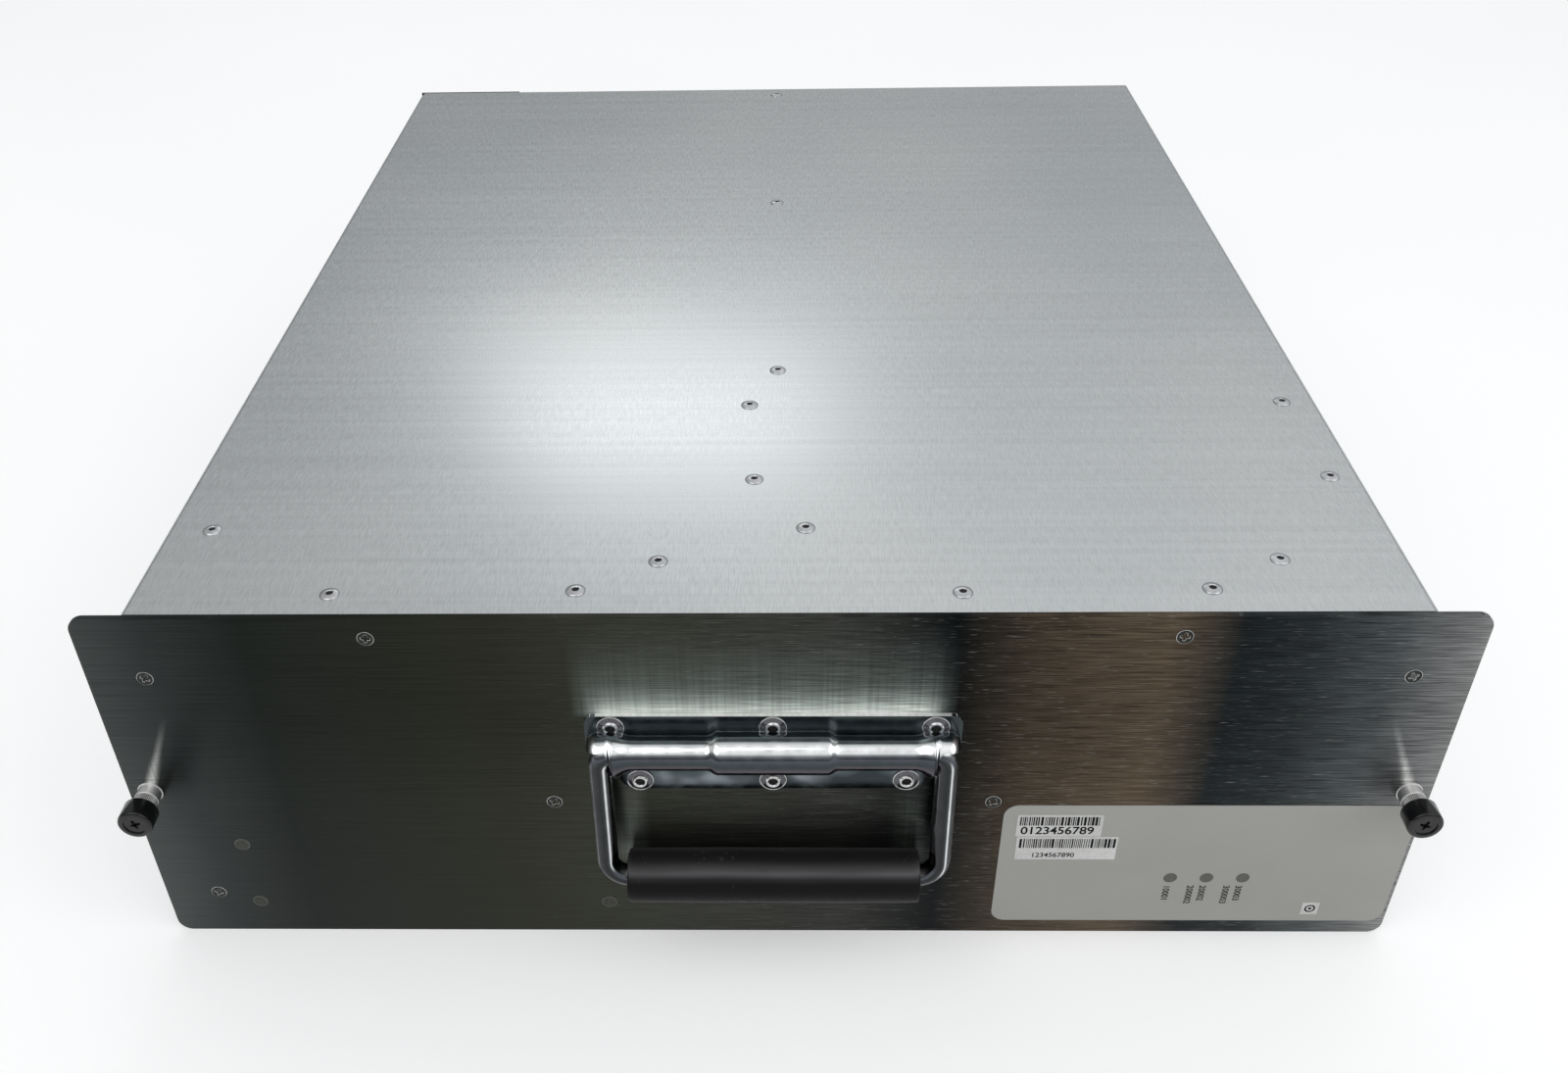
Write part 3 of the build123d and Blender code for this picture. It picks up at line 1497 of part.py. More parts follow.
def tray():
    """Every node of the tray by name."""
    paired = {
        "inlet_rings": inlet_ring,
        "inlet_guards": inlet_guard,
        "motor_straps": motor_strap,
        "motor_stators": stator,
        "motor_bearings": bearings,
        "fan_cables": fan_cable,
        "exhaust_grilles": exhaust_grille,
        "screw_ferrules": screw_ferrule,
    }
    sided = {
        "scroll_wall": scroll_wall,
        "blower_wheel": blower_wheel,
        "rotor": rotor,
        "captive_screw": captive_screw,
        "screw_knob": screw_knob,
        "screw_washer": screw_washer,
        "screw_spring": screw_spring,
    }
    parts = {
        "front_panel": front_panel(),
        "panel_screws": panel_screws(),
        "clinch_nuts": clinch_nuts(),
        "corner_posts": corner_posts(),
        "top_cover": top_cover(),
        "cover_rivets": group([roof_rivets(), side_rivets()]),
        "deck_rivets": deck_rivets(),
        "roof_studs": roof_studs(),
        "strap_nuts": strap_nuts(),
        "motor_screws": motor_screws(),
        "blower_deck": blower_deck(),
        "guard_screws": guard_screws(),
        "centre_divider": centre_divider(),
        "rear_frame": rear_frame(),
        "rear_connector": rear_connector(),
        "connector_pins": connector_pins(),
        "connector_bracket": connector_bracket(),
        "guide_bushes": guide_bushes(),
        "rear_gasket": rear_gasket(),
        "handle_plate": handle_plate(),
        "handle_bail": bail(),
        "handle_grip": grip(),
        "handle_spring": handle_spring(),
        "handle_rivets": handle_rivets(),
        "label_overlay": label_overlay(),
        "led_windows": led_windows(),
        "label_stickers": label_stickers(),
        "led_lights": led_lights(),
        "led_board": led_board(),
        "controller_board": controller_board(),
        "panel_studs": panel_studs(),
        "board_spacers": board_spacers(),
        "board_nuts": board_nuts(),
        "board_parts": board_parts(),
        "lead_grommets": lead_grommets(),
        "main_loom": main_loom(),
        "lamp_lead": lamp_lead(),
        "cable_clips": cable_clips(),
    }
    for name, make in paired.items():
        parts[name] = group([make(side) for side in sides])
    for name, make in sided.items():
        for side in sides:
            parts[f"{side}_{name}"] = make(side)
    return parts


write(tray())
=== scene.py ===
import json
from math import asin, cos, pi, radians, sin, sqrt
from random import Random

import bmesh
import bpy
from mathutils import Matrix, Vector

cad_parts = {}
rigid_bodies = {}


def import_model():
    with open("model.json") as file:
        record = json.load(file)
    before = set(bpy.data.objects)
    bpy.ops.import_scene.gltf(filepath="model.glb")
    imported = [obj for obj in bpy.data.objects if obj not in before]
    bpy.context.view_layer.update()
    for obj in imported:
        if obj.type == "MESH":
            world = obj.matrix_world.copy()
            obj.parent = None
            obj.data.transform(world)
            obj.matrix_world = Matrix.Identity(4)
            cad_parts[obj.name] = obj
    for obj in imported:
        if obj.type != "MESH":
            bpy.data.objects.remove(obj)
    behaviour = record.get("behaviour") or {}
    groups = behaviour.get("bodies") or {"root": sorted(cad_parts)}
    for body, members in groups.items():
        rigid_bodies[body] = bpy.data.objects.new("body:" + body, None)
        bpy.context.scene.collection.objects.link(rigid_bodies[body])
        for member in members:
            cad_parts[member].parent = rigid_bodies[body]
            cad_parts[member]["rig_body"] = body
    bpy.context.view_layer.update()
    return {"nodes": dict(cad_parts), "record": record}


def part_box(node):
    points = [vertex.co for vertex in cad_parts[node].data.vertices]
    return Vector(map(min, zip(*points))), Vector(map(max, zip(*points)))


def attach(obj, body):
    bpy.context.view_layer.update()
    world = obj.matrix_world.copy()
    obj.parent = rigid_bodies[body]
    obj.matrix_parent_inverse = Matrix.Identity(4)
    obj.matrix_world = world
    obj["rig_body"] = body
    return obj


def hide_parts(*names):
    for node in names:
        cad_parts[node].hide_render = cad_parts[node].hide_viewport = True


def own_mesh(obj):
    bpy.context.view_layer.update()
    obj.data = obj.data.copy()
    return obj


# The looks of the fan tray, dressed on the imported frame. Places are given in millimetres, as depth behind
# the panel's front face and height above its foot, and are turned into metres by place().
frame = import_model()
mm = 0.001
random_seed = 4
chance = Random(random_seed)

# What the frame measures
panel_low, panel_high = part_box("front_panel")
cover_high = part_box("top_cover")[1]
label_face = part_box("label_overlay")[0].y
front = panel_low.y

# Camera, solved from the photograph
camera_place = (0.0014, -0.5862, 0.4177)
camera_yaw = radians(-1.776)
camera_pitch = radians(37.292)
camera_roll = radians(-1.252)
camera_lens = 33.376
camera_shift = (0.0275, 0.0403)
camera_clip = 0.01

# How meshes are cleaned and shaded
weld_gap = mm / 1000
solid_weld_gap = mm / 100
sharp_deg = 35
turned_sides = 48
quarter_turn = pi / 2

# Front panel
panel_corner = 5
panel_edge = 0.35
corner_steps = 10

# Handle plate
bead_z = 93.9
bead_depth = 5.6
bead_r = 5.75
bead_middle_r = 7.2
bead_middle_half = 18
bead_blend = 3
bead_columns = 123
bead_turns = 44
bead_wall_share = 0.9
bead_sharp_deg = 50
bead_split_deg = 40
plate_top = 106
plate_foot = 73.8
plate_thick = 1.5
plate_half = 61
plate_corner = 3
plate_edge = 0.4
foot_half = 51.2
foot_corner = 6
foot_edge = 0.3
rim_columns = 61
rim_lift = 0.02
hood_r = 7
hood_start = 51.5
hood_blend = 6
hood_dome = 4
hood_step = 0.02
hood_lip = radians(50)
hood_curve = 14
flare_drop = 3.3
flare_blend = 7

# Bail and grip, with the grip's soft end as (inset, change of radius) points
rod_r = 3.75
rod_sides = 28
leg_x = 56.4
leg_length = 53.5
rod_top_r = 5
rod_foot_r = 8
rod_end_gap = 3
rod_bend_steps = 12
grip_r = 9.35
grip_half = 49.5
grip_end = ((0, -1.6), (0, -1.1), (0.3, -0.35), (1.1, 0))
grip_plain_inset = 4
grip_stations = 24
grip_sides = 56
grip_barrel = 0.12
rest_gap = 0.3

# Driver's crosses
cross_flank = 1.5
cross_taper_share = 0.4
cross_length_share = 0.85
cross_sunk_share = 0.45

# Panel screws
screw_head_r = 2.8
screw_rim_drop = 0.12
screw_rim_share = 0.9
screw_cross_reach = 1.75
screw_cross_half = 0.45
screw_cross_depth = 0.5
screw_lift = 0.05
screw_turn = 0.7
screw_mesh = (96, 44)
screw_shank = ((screw_head_r, -screw_rim_drop), (1.5, -1.4), (1.5, -7), (0, -7))

# Flush studs in the panel
stud_r = 3
stud_lift = 0.04
stud_groove = 0.12
stud_groove_rs = (2.45, 2.95)
stud_mesh = (48, 14)
stud_shank = ((stud_r, -0.03), (stud_r, -1.4), (1.5, -1.4), (1.5, -14), (0, -14))

# Rivets in the cover
cover_rivet = (
    (1.05, 0.2), (1.1, 0.62), (1.3, 0.8), (1.9, 0.76), (2.6, 0.56), (3.05, 0.32), (3.2, 0.1), (3.2, 0),
    (1.6, 0), (1.6, -2.3), (2.3, -2.4), (2.3, -4.4), (1.6, -4.6), (0, -4.6),
)
cover_rivet_sides = 40
cover_core = ((0, 0.34), (0.5, 0.34), (0.72, 0.2), (1.08, 0.18))
cover_core_sides = 24

# Rivets of the handle plate
handle_rivet_r = 4.6
rivet_lip = ((1.45, 0.1), (1.5, 1.15), (1.75, 1.4), (2.2, 1.45), (2.5, 1.25), (2.7, 0.8))
rivet_flange = ((2.6, 1), (2.7, 0.8), (3.6, 0.5), (4.1, 0.36), (4.2, 0.36))
rivet_rim = ((4.1, 0.34), (4.3, 0.5), (4.5, 0.42), (handle_rivet_r, 0.2), (handle_rivet_r, 0))
rivet_tail = ((handle_rivet_r, 0), (2.4, 0), (2.4, -3.8), (3.4, -3.9), (3.4, -7.6), (0, -7.8))
rivet_core = ((0, 0.3), (0.8, 0.3), (1.1, 0.12), (1.52, 0.1))
rivet_sides = 56
rivet_tail_sides = 32

# Captive screws
ferrule_r = 4
ferrule_length = 8.7
knurl_start = 4.5
knurl_depth = 0.16
knurl_teeth = 44
ferrule_outline = (
    (3.3, -3.3), (3.3, 0), (4.25, 0), (4.25, 0.35), (ferrule_r, 0.45), (ferrule_r, 4.1), (3.75, 4.3),
    (ferrule_r, knurl_start), (ferrule_r, 8.4), (3.7, ferrule_length), (2.8, ferrule_length), (2.8, -1),
)
knob_r = 5.75
knob_start = 8.4
knob_end = 16
cavity_end = 14.3
knob_outline = (
    (2.5, cavity_end), (4.3, cavity_end), (4.3, knob_start), (5.2, knob_start), (5.55, 8.5), (knob_r, 8.8),
    (knob_r, 15), (5.6, 15.55), (5.25, 15.88), (4.8, knob_end), (3.95, knob_end), (3.75, 15.85), (3.65, 15.5),
)
knob_sides = 64
knob_face_r = 3.65
knob_face_z = 15.5
knob_face_mesh = (96, 40)
knob_cross_reach = 2.2
knob_cross_half = 0.5
knob_cross_depth = 1.1
knob_turn = 0.6

# Label: the text, height and inset of each barcode sticker's figures, then the lamps' legends
small_sticker = 10
sticker_ring = ((1.3, 0), (1.9, 0))
sticker_ring_sides = 32
sticker_dot = ((0, 0), (0.6, 0))
sticker_dot_sides = 20
sticker_figures = (("0123456789", 5, 1.5), ("1234567890", 3, 5.5))
figures_foot = 1.2
bars_inset = 1
bars_top_inset = 0.8
bar_height_share = 0.48
bar_widths = (0.3, 0.3, 0.5, 0.85)
bar_gaps = (0.28, 0.35, 0.5)
print_lift = 0.02
legends = ("10001", "20002\n200002", "30003\n300003")
legend_height = 3.2
legend_gap = 1.5
bold_share = 0.018
line_gap = 1.35

# Foam strip and rear frame
foam_cuts = 6
foam_edge = 0.3
foam_edge_steps = 3
frame_edge = 0.2
frame_edge_steps = 2
frame_edge_limit = radians(50)

# Painted reflections on the panel, of the bright handle and screws before it: ends at the foot, softness, foot,
# head, rise below the foot, lean inwards, colour
painted_reflections = (
    (-61, 55, 4, 106, 143, 2, 0, (0.15, 0.175, 0.16)),
    (-57, 52, 4, 106, 119, 2, 0, (0.5, 0.57, 0.53)),
    (-56, 51, 3, 106, 112, 2, 0, (0.75, 0.78, 0.73)),
    (-53, -44.5, 2.5, 42, 92, 6, 0, (0.16, 0.18, 0.16)),
    (42, 50, 3, 42, 84, 6, 0, (0.1, 0.115, 0.1)),
)
knob_reflections = (208.4, 211.8, 90, (0.55, 0.55, 0.53)), (209.4, 210.8, 106, (0.75, 0.76, 0.74))
# Painted reflections of the two captive screws, one on each side, leaning inwards.
for near, far, head, colour in knob_reflections:
    painted_reflections += ((-far, -near, 0.9, 74, head, 2, 0.41, colour),)
    painted_reflections += ((near, far, 0.9, 74, head, 2, -0.41, colour),)
reflection_fall = 1.7

# Where most of a noise texture's values lie
noise_middle = (0.3, 0.7)

# Painted reflections and highlights as (position, colour) stops: across the panel, up the panel, by how
# polished chrome, the bail's legs and the rubber grip face
panel_reflection_tones = (
    (0, (0.07, 0.078, 0.076)), (0.05, (0.036, 0.042, 0.041)), (0.12, (0.017, 0.021, 0.018)),
    (0.3, (0.032, 0.034, 0.024)), (0.42, (0.05, 0.053, 0.042)), (0.55, (0.05, 0.052, 0.046)),
    (0.63, (0.006, 0.008, 0.009)), (0.69, (0.062, 0.048, 0.034)), (0.78, (0.105, 0.08, 0.055)),
    (0.83, (0.015, 0.019, 0.021)), (0.88, (0.026, 0.031, 0.033)), (0.94, (0.075, 0.085, 0.088)),
    (1, 0.22),
)
panel_reflection_rise = ((0, 1.05), (0.45, 1), (0.7, 0.8), (1, 0.9))
polish_reflection_tones = (
    (0, (0.5, 0.49, 0.5)), (0.2, (0.16, 0.15, 0.17)), (0.4, (0.09, 0.082, 0.095)),
    (0.5, (0.05, 0.06, 0.064)), (0.6, (0.06, 0.07, 0.08)), (0.7, (0.1, 0.11, 0.125)),
    (0.78, (0.36, 0.37, 0.39)), (0.83, (0.95, 0.96, 0.96)), (0.94, (0.97, 0.98, 0.98)),
    (0.98, (0.4, 0.44, 0.46)), (1, (0.2, 0.23, 0.25)),
)
leg_highlight_tones = (
    (0, 0.12), (0.05, (0.8, 0.83, 0.85)), (0.18, (0.06, 0.06, 0.065)),
    (0.5, (0.035, 0.038, 0.04)), (0.63, (0.06, 0.065, 0.066)), (0.7, (0.88, 0.9, 0.92)),
    (0.78, (0.045, 0.048, 0.05)), (0.9, (0.08, 0.085, 0.09)), (0.95, (0.65, 0.67, 0.69)),
    (1, 0.1),
)
grip_highlight_tones = (
    (0.2, 0.001), (0.45, 0.004), (0.62, (0.022, 0.022, 0.023)),
    (0.76, (0.1, 0.096, 0.1)), (0.86, (0.06, 0.058, 0.06)), (0.97, (0.018, 0.018, 0.019)),
    (1, (0.014, 0.014, 0.015)),
)

# Rolled and cast metals: colour, roughness, grain along X, Y and Z, depth of the grain in metres
metals = {
    "rivet_metal": ((0.6, 0.61, 0.62), 0.26, (800, 800, 800)),
    "bright_zinc": ((0.66, 0.67, 0.69), 0.3, (500, 60, 500)),
    "spring_steel": ((0.38, 0.38, 0.39), 0.34, (1500, 1500, 1500)),
    "wheel_aluminium": ((0.58, 0.6, 0.62), 0.36, (300, 300, 40)),
    "motor_casting": ((0.24, 0.25, 0.26), 0.55, (1400, 1400, 1400), 0.0001),
    "contact_brass": ((0.78, 0.6, 0.27), 0.25, (900, 60, 900)),
    # The dark and bright rivet metals below are shaded and lit copies of one metal: painted shade and painted
    # highlight.
    "rivet_dark": ((0.12, 0.12, 0.13), 0.18, (900, 900, 900)),
    "rivet_bright": ((0.66, 0.66, 0.66), 0.24, (900, 900, 900)),
}

# Dull steels seen from the front: colour of the face, colour of its slopes as a painted highlight, how far
# round a slope starts
sunk_steels = {
    "screw_steel": ((0.035, 0.037, 0.034), (0.98, 0.98, 0.96), 0.99),
    "stud_steel": ((0.06, 0.063, 0.055), (0.5, 0.5, 0.48), 0.998),
}

# Polished chromes: whether thin painted highlight lines run along them, as on the bail's legs
chromes = {"handle_chrome": (False,), "rod_chrome": (True,)}

# Moulded and printed things: colour, roughness, grain, its depth in metres, worn brightness, gloss
plastics = {
    "knob_plastic": ((0.005, 0.005, 0.0055), 0.22, 700, 0.00002, 1.4, 0.4),
    "black_plastic": ((0.028, 0.028, 0.031), 0.5, 600, 0.00008),
    "window_film": ((0.085, 0.083, 0.072), 0.3, 900, 0.00003, 1.15),
    "sticker_paper": ((0.78, 0.78, 0.76), 0.7, 1500, 0.00004, 1.05),
    "lamp_plastic": ((0.5, 0.56, 0.5), 0.15, 500, 0.00002, 1.1),
    "cable_jacket": ((0.035, 0.035, 0.038), 0.45, 400, 0.00006),
    # The near-black below is painted shade in the rivets' holes.
    "hollow_black": ((0.006, 0.006, 0.006), 0.7, 900, 0.00003),
    "printed_black": ((0.006, 0.006, 0.006), 0.7, 2000, 0.00002, 1.1, 0.1),
}

# Room: the sky's tones by height, its dimming to the left, and the lamps' places, aims, sizes and power
floor_half = 6
floor_lift = 0.3
white = (1, 1, 1, 1)
sky_stops = ((0.25, (0.35, 0.36, 0.37, 1)), (0.54, (0.79, 0.8, 0.81, 1)))
sky_dimming = (("From Min", -0.4), ("From Max", 0.05), ("To Min", 0.68), ("To Max", 1))
lamps = {
    "back_window": ((-0.22, 1.75, 1.22), (-0.03, -0.1, 0.14), 0.6, 0.1, 0.82),
    "key": ((-0.9, -1.2, 1.7), (0, 0, 0.1), 1.6, 1.6, 9),
    "fill": ((1.3, -0.9, 1.3), (0, 0, 0.1), 1.6, 1.6, 5),
}


def place(x, depth, z):
    """A point from millimetres along the panel, behind its front face and above its foot."""
    return Vector((x * mm, front + depth * mm, z * mm))


def smooth(value, start, end):
    """A smooth step from 0 at start to 1 at end."""
    share = min(max((value - start) / (end - start), 0), 1)
    return share * share * (3 - 2 * share)


def steps(start, end, count):
    """Evenly spread values, both ends included."""
    return [start + (end - start) * index / (count - 1) for index in range(count)]


def rgba(tone):
    """A colour or a grey level with its alpha."""
    return (tone, tone, tone, 1) if isinstance(tone, (int, float)) else (*tone, 1)


# Every material by its name, filled in by Paint
finishes = {}


class Paint:
    """A material being built: each method adds nodes and gives back the output to go on with."""

    def __init__(self, name, colour, metallic, roughness):
        self.material = bpy.data.materials.new(name)
        self.material.use_nodes = True
        finishes[name] = self.material
        self.tree = self.material.node_tree
        self.shader = self.tree.nodes["Principled BSDF"]
        self.set("Base Color", rgba(colour))
        self.set("Metallic", metallic)
        self.set("Roughness", roughness)

    def set(self, socket, value):
        self.shader.inputs[socket].default_value = value

    def add(self, kind, **settings):
        made = self.tree.nodes.new(kind)
        for key, value in settings.items():
            setattr(made, key, value)
        return made

    def join(self, output, socket):
        self.tree.links.new(output, socket)

    def feed(self, socket, output):
        self.join(output, self.shader.inputs[socket])

    def coordinates(self, scale, offset=(0, 0, 0)):
        """The place on the object, scaled and shifted."""
        source = self.add("ShaderNodeTexCoord").outputs["Object"]
        mapping = self.add("ShaderNodeMapping")
        mapping.inputs["Scale"].default_value = scale
        mapping.inputs["Location"].default_value = offset
        self.join(source, mapping.inputs["Vector"])
        return mapping.outputs["Vector"]

    def noise(self, scale, detail, offset=(0, 0, 0)):
        """A soft texture with one scale or its own along X, Y and Z."""
        if isinstance(scale, int):
            scale = (scale, scale, scale)
        made = self.add("ShaderNodeTexNoise")
        made.inputs["Scale"].default_value = 1
        made.inputs["Detail"].default_value = detail
        self.join(self.coordinates(scale, offset), made.inputs["Vector"])
        return made.outputs["Fac"]

    def cells(self, scale):
        """A texture of cells, each with a colour and a distance from its middle."""
        made = self.add("ShaderNodeTexVoronoi")
        made.inputs["Scale"].default_value = 1
        self.join(self.coordinates(scale), made.inputs["Vector"])
        return made

    def part(self, source, name):
        """X, Y or Z of the place in metres, Object, or of the way the surface faces, Normal."""
        split = self.add("ShaderNodeSeparateXYZ")
        self.join(self.add("ShaderNodeTexCoord").outputs[source], split.inputs["Vector"])
        return split.outputs[name]

    def span(self, value, low, high, to_low=0, to_high=1):
        """Stretches the range from low to high onto another one."""
        made = self.add("ShaderNodeMapRange", clamp=True)
        for name, number in (("From Min", low), ("From Max", high), ("To Min", to_low), ("To Max", to_high)):
            made.inputs[name].default_value = number
        self.join(value, made.inputs["Value"])
        return made.outputs["Result"]

    def spread(self, value, low, high):
        """Stretches the middle of a noise, where most of it lies, from low to high."""
        return self.span(value, *noise_middle, low, high)

    def math(self, operation, first, second):
        """A sum or product of two outputs or numbers."""
        made = self.add("ShaderNodeMath", operation=operation)
        for socket, value in zip(made.inputs, (first, second)):
            if isinstance(value, (int, float)):
                socket.default_value = value
            else:
                self.join(value, socket)
        return made.outputs["Value"]

    def ramp(self, value, stops):
        """Colours laid along a value by (position, colour) stops."""
        made = self.add("ShaderNodeValToRGB")
        points = made.color_ramp.elements
        for point, (position, colour) in ((points[0], stops[0]), (points[1], stops[-1])):
            point.position = position
            point.color = rgba(colour)
        for position, colour in stops[1:-1]:
            points.new(position).color = rgba(colour)
        self.join(value, made.inputs["Fac"])
        return made.outputs["Color"]

    def blend(self, factor, first, second, mode="MIX"):
        """Two colours mixed or multiplied."""
        made = self.add("ShaderNodeMix", data_type="RGBA", blend_type=mode)
        sockets = [socket for socket in made.inputs if socket.enabled]
        for socket, value in zip(sockets, (factor, first, second)):
            if isinstance(value, (int, float)):
                socket.default_value = value
            elif isinstance(value, tuple):
                socket.default_value = rgba(value)
            else:
                self.join(value, socket)
        return [output for output in made.outputs if output.enabled][0]

    def mottle(self, tone, texture, low, high, start=noise_middle[0], end=noise_middle[1]):
        """Darkens and lightens a tone with a texture."""
        levels = self.ramp(texture, [(start, low), (end, high)])
        return self.blend(1, tone, levels, "MULTIPLY")

    def bump(self, height, distance, strength, under=None):
        """Small relief in the shading, over another one when given."""
        made = self.add("ShaderNodeBump")
        made.inputs["Strength"].default_value = strength
        made.inputs["Distance"].default_value = distance
        self.join(height, made.inputs["Height"])
        if under:
            self.join(under, made.inputs["Normal"])
        self.feed("Normal", made.outputs["Normal"])
        return made.outputs["Normal"]

    def dress(self, tone, rough, height, distance, strength):
        """The surface's colour, its roughness and its relief."""
        self.feed("Base Color", tone)
        self.feed("Roughness", rough)
        self.bump(height, distance, strength)

    def stretch(self, amount, along):
        """Draws reflections out along one direction, across the brushing."""
        self.set("Anisotropic", amount)
        direction = self.add("ShaderNodeCombineXYZ")
        for socket, value in zip(direction.inputs, along):
            socket.default_value = value
        self.feed("Tangent", direction.outputs["Vector"])


def tinted(colour, share):
    return tuple(channel * share for channel in colour)


def add_painted_reflections(paint, tone):
    """Painted reflections: soft upright sheens of the bright handle and screws that stand close before the
    brushed face.
    """
    # Upright streaks through the painted reflections.
    streaks = paint.spread(paint.noise((1000, 1, 12), 2), 0.72, 1.15)
    for x0, x1, soft_x, foot, head, start, lean, colour in painted_reflections:
        above = paint.math("SUBTRACT", paint.part("Object", "Z"), foot * mm)
        across = paint.math("SUBTRACT", paint.part("Object", "X"), paint.math("MULTIPLY", above, lean))
        left = paint.span(across, (x0 - soft_x) * mm, (x0 + soft_x) * mm)
        right = paint.span(across, (x1 + soft_x) * mm, (x1 - soft_x) * mm)
        rise = paint.math("POWER", paint.span(above, (head - foot) * mm, 0), reflection_fall)
        base = paint.span(above, -start * mm, 0)
        share = paint.math("MULTIPLY", left, right)
        share = paint.math("MULTIPLY", share, paint.math("MULTIPLY", rise, base))
        tone = paint.blend(paint.math("MULTIPLY", share, streaks), tone, colour)
    return tone


def panel_steel():
    """Dull steel brushed along X, its colour painted with reflections of the room and of the handle and screws,
    with short bright scratches towards the right.
    """
    paint = Paint("panel_steel", 0.05, 1, 0.42)
    across = paint.span(paint.part("Object", "X"), panel_low.x, panel_high.x)
    # Painted reflections of the room: tones across the panel, then levels up it.
    tone = paint.ramp(across, panel_reflection_tones)
    up = paint.span(paint.part("Object", "Z"), 0, panel_high.z)
    tone = paint.blend(1, tone, paint.ramp(up, panel_reflection_rise), "MULTIPLY")
    # Painted reflections of the handle and screws.
    tone = add_painted_reflections(paint, tone)
    long_grain = paint.noise((30, 1, 3600), 4)
    tone = paint.mottle(tone, long_grain, 0.72, 1.28)
    worn = paint.span(across, 0.3, 0.66, to_low=0.05, to_high=1)
    streaks = paint.noise((75, 1, 4700), 3, offset=(3, 0, 5))
    tone = paint.blend(worn, tone, paint.mottle(tone, streaks, 0.45, 1.75, start=0.32, end=0.68))
    scratches = paint.span(paint.noise((170, 1, 5200), 1), 0.68, 0.8)
    where = paint.math("MULTIPLY", worn, paint.noise((9, 1, 14), 3))
    tone = paint.blend(paint.math("MULTIPLY", scratches, where), tone, (0.5, 0.5, 0.49))
    paint.dress(tone, paint.spread(long_grain, 0.34, 0.46), long_grain, 0.00004, 0.5)
    paint.stretch(amount=0.85, along=(0, 0, 1))


def cover_sheet():
    """Zinc-coated sheet with a fine grain from front to back."""
    paint = Paint("cover_sheet", (0.6, 0.63, 0.635), 1, 0.33)
    grain = paint.noise((2000, 190, 1), 3)
    rows = paint.noise((3, 330, 1), 2)
    cloud = paint.noise((5, 4, 5), 2)
    tone = paint.ramp(cloud, [(0.35, (0.58, 0.61, 0.62)), (0.65, (0.66, 0.68, 0.68))])
    tone = paint.mottle(tone, grain, 0.9, 1.07)
    tone = paint.mottle(tone, rows, 0.95, 1.03)
    paint.feed("Base Color", tone)
    paint.feed("Roughness", paint.spread(grain, 0.25, 0.32))
    waves = paint.bump(paint.noise((3.2, 4.1, 3), 1), 0.0012, 0.35)
    paint.bump(grain, 0.00001, 0.15, under=waves)
    paint.stretch(amount=0.55, along=(1, 0, 0))


def rolled_metal(name, colour, roughness, scale, depth=0.00003):
    """Plain metal sheet or bar with a grain, small clouds of tone and worn patches."""
    paint = Paint(name, colour, 1, roughness)
    grain = paint.noise(scale, 4)
    cloud = paint.noise(60, 3)
    tone = paint.ramp(cloud, [(0.3, tinted(colour, 0.8)), (0.7, tinted(colour, 1.1))])
    tone = paint.mottle(tone, grain, 0.85, 1.1)
    paint.dress(tone, paint.spread(cloud, roughness * 0.85, roughness * 1.2), grain, depth, 0.4)


def inner_sheet():
    """Zinc-coated sheet with the crystal patches of a galvanised surface."""
    paint = Paint("inner_sheet", (0.55, 0.57, 0.58), 1, 0.42)
    crystals = paint.cells((110, 90, 110))
    patch = paint.ramp(crystals.outputs["Color"], [(0.2, (0.5, 0.52, 0.53)), (0.8, (0.58, 0.6, 0.61))])
    grain = paint.noise((900, 40, 900), 3)
    paint.feed("Base Color", paint.mottle(patch, grain, 0.88, 1.08))
    rough = paint.span(crystals.outputs["Distance"], 0, 0.8, to_low=0.36, to_high=0.5)
    paint.feed("Roughness", rough)
    paint.bump(grain, 0.00003, 0.3)


def polished(name, highlight_lined):
    """Polished chrome with painted reflections: bright where it faces up and forwards, deep grey elsewhere,
    with faint wear.
    """
    paint = Paint(name, (0.75, 0.76, 0.78), 1, 0.12)
    up = paint.part("Normal", "Z")
    # Painted reflections by how far the surface faces up.
    tone = paint.ramp(paint.span(up, -1, 1), polish_reflection_tones)
    if highlight_lined:
        # Thin painted highlight lines by which way the surface faces, where it faces sideways.
        level = paint.math("ABSOLUTE", up, 0)
        highlight_lines = paint.ramp(paint.span(paint.part("Normal", "X"), -1, 1), leg_highlight_tones)
        tone = paint.blend(paint.span(level, 0.32, 0.12), tone, highlight_lines)
    wear = paint.noise(240, 5)
    paint.dress(
        paint.mottle(tone, wear, 0.85, 1.08),
        paint.spread(wear, 0.1, 0.24), paint.noise(500, 2), 0.00002, 0.3,
    )


def plate_chrome():
    """The flat foot of the handle plate, with painted reflections in blotches of light and dark along it."""
    paint = Paint("plate_chrome", (0.3, 0.31, 0.33), 1, 0.16)
    # Painted reflections: blotches of light and dark.
    reflection_blotch = paint.noise((45, 45, 60), 2)
    stops = [(0.38, (0.04, 0.05, 0.056)), (0.5, (0.1, 0.12, 0.13)), (0.64, (0.3, 0.34, 0.37))]
    wear = paint.noise(240, 5)
    paint.dress(
        paint.mottle(paint.ramp(reflection_blotch, stops), wear, 0.85, 1.08),
        paint.spread(wear, 0.12, 0.26), wear, 0.00002, 0.3,
    )


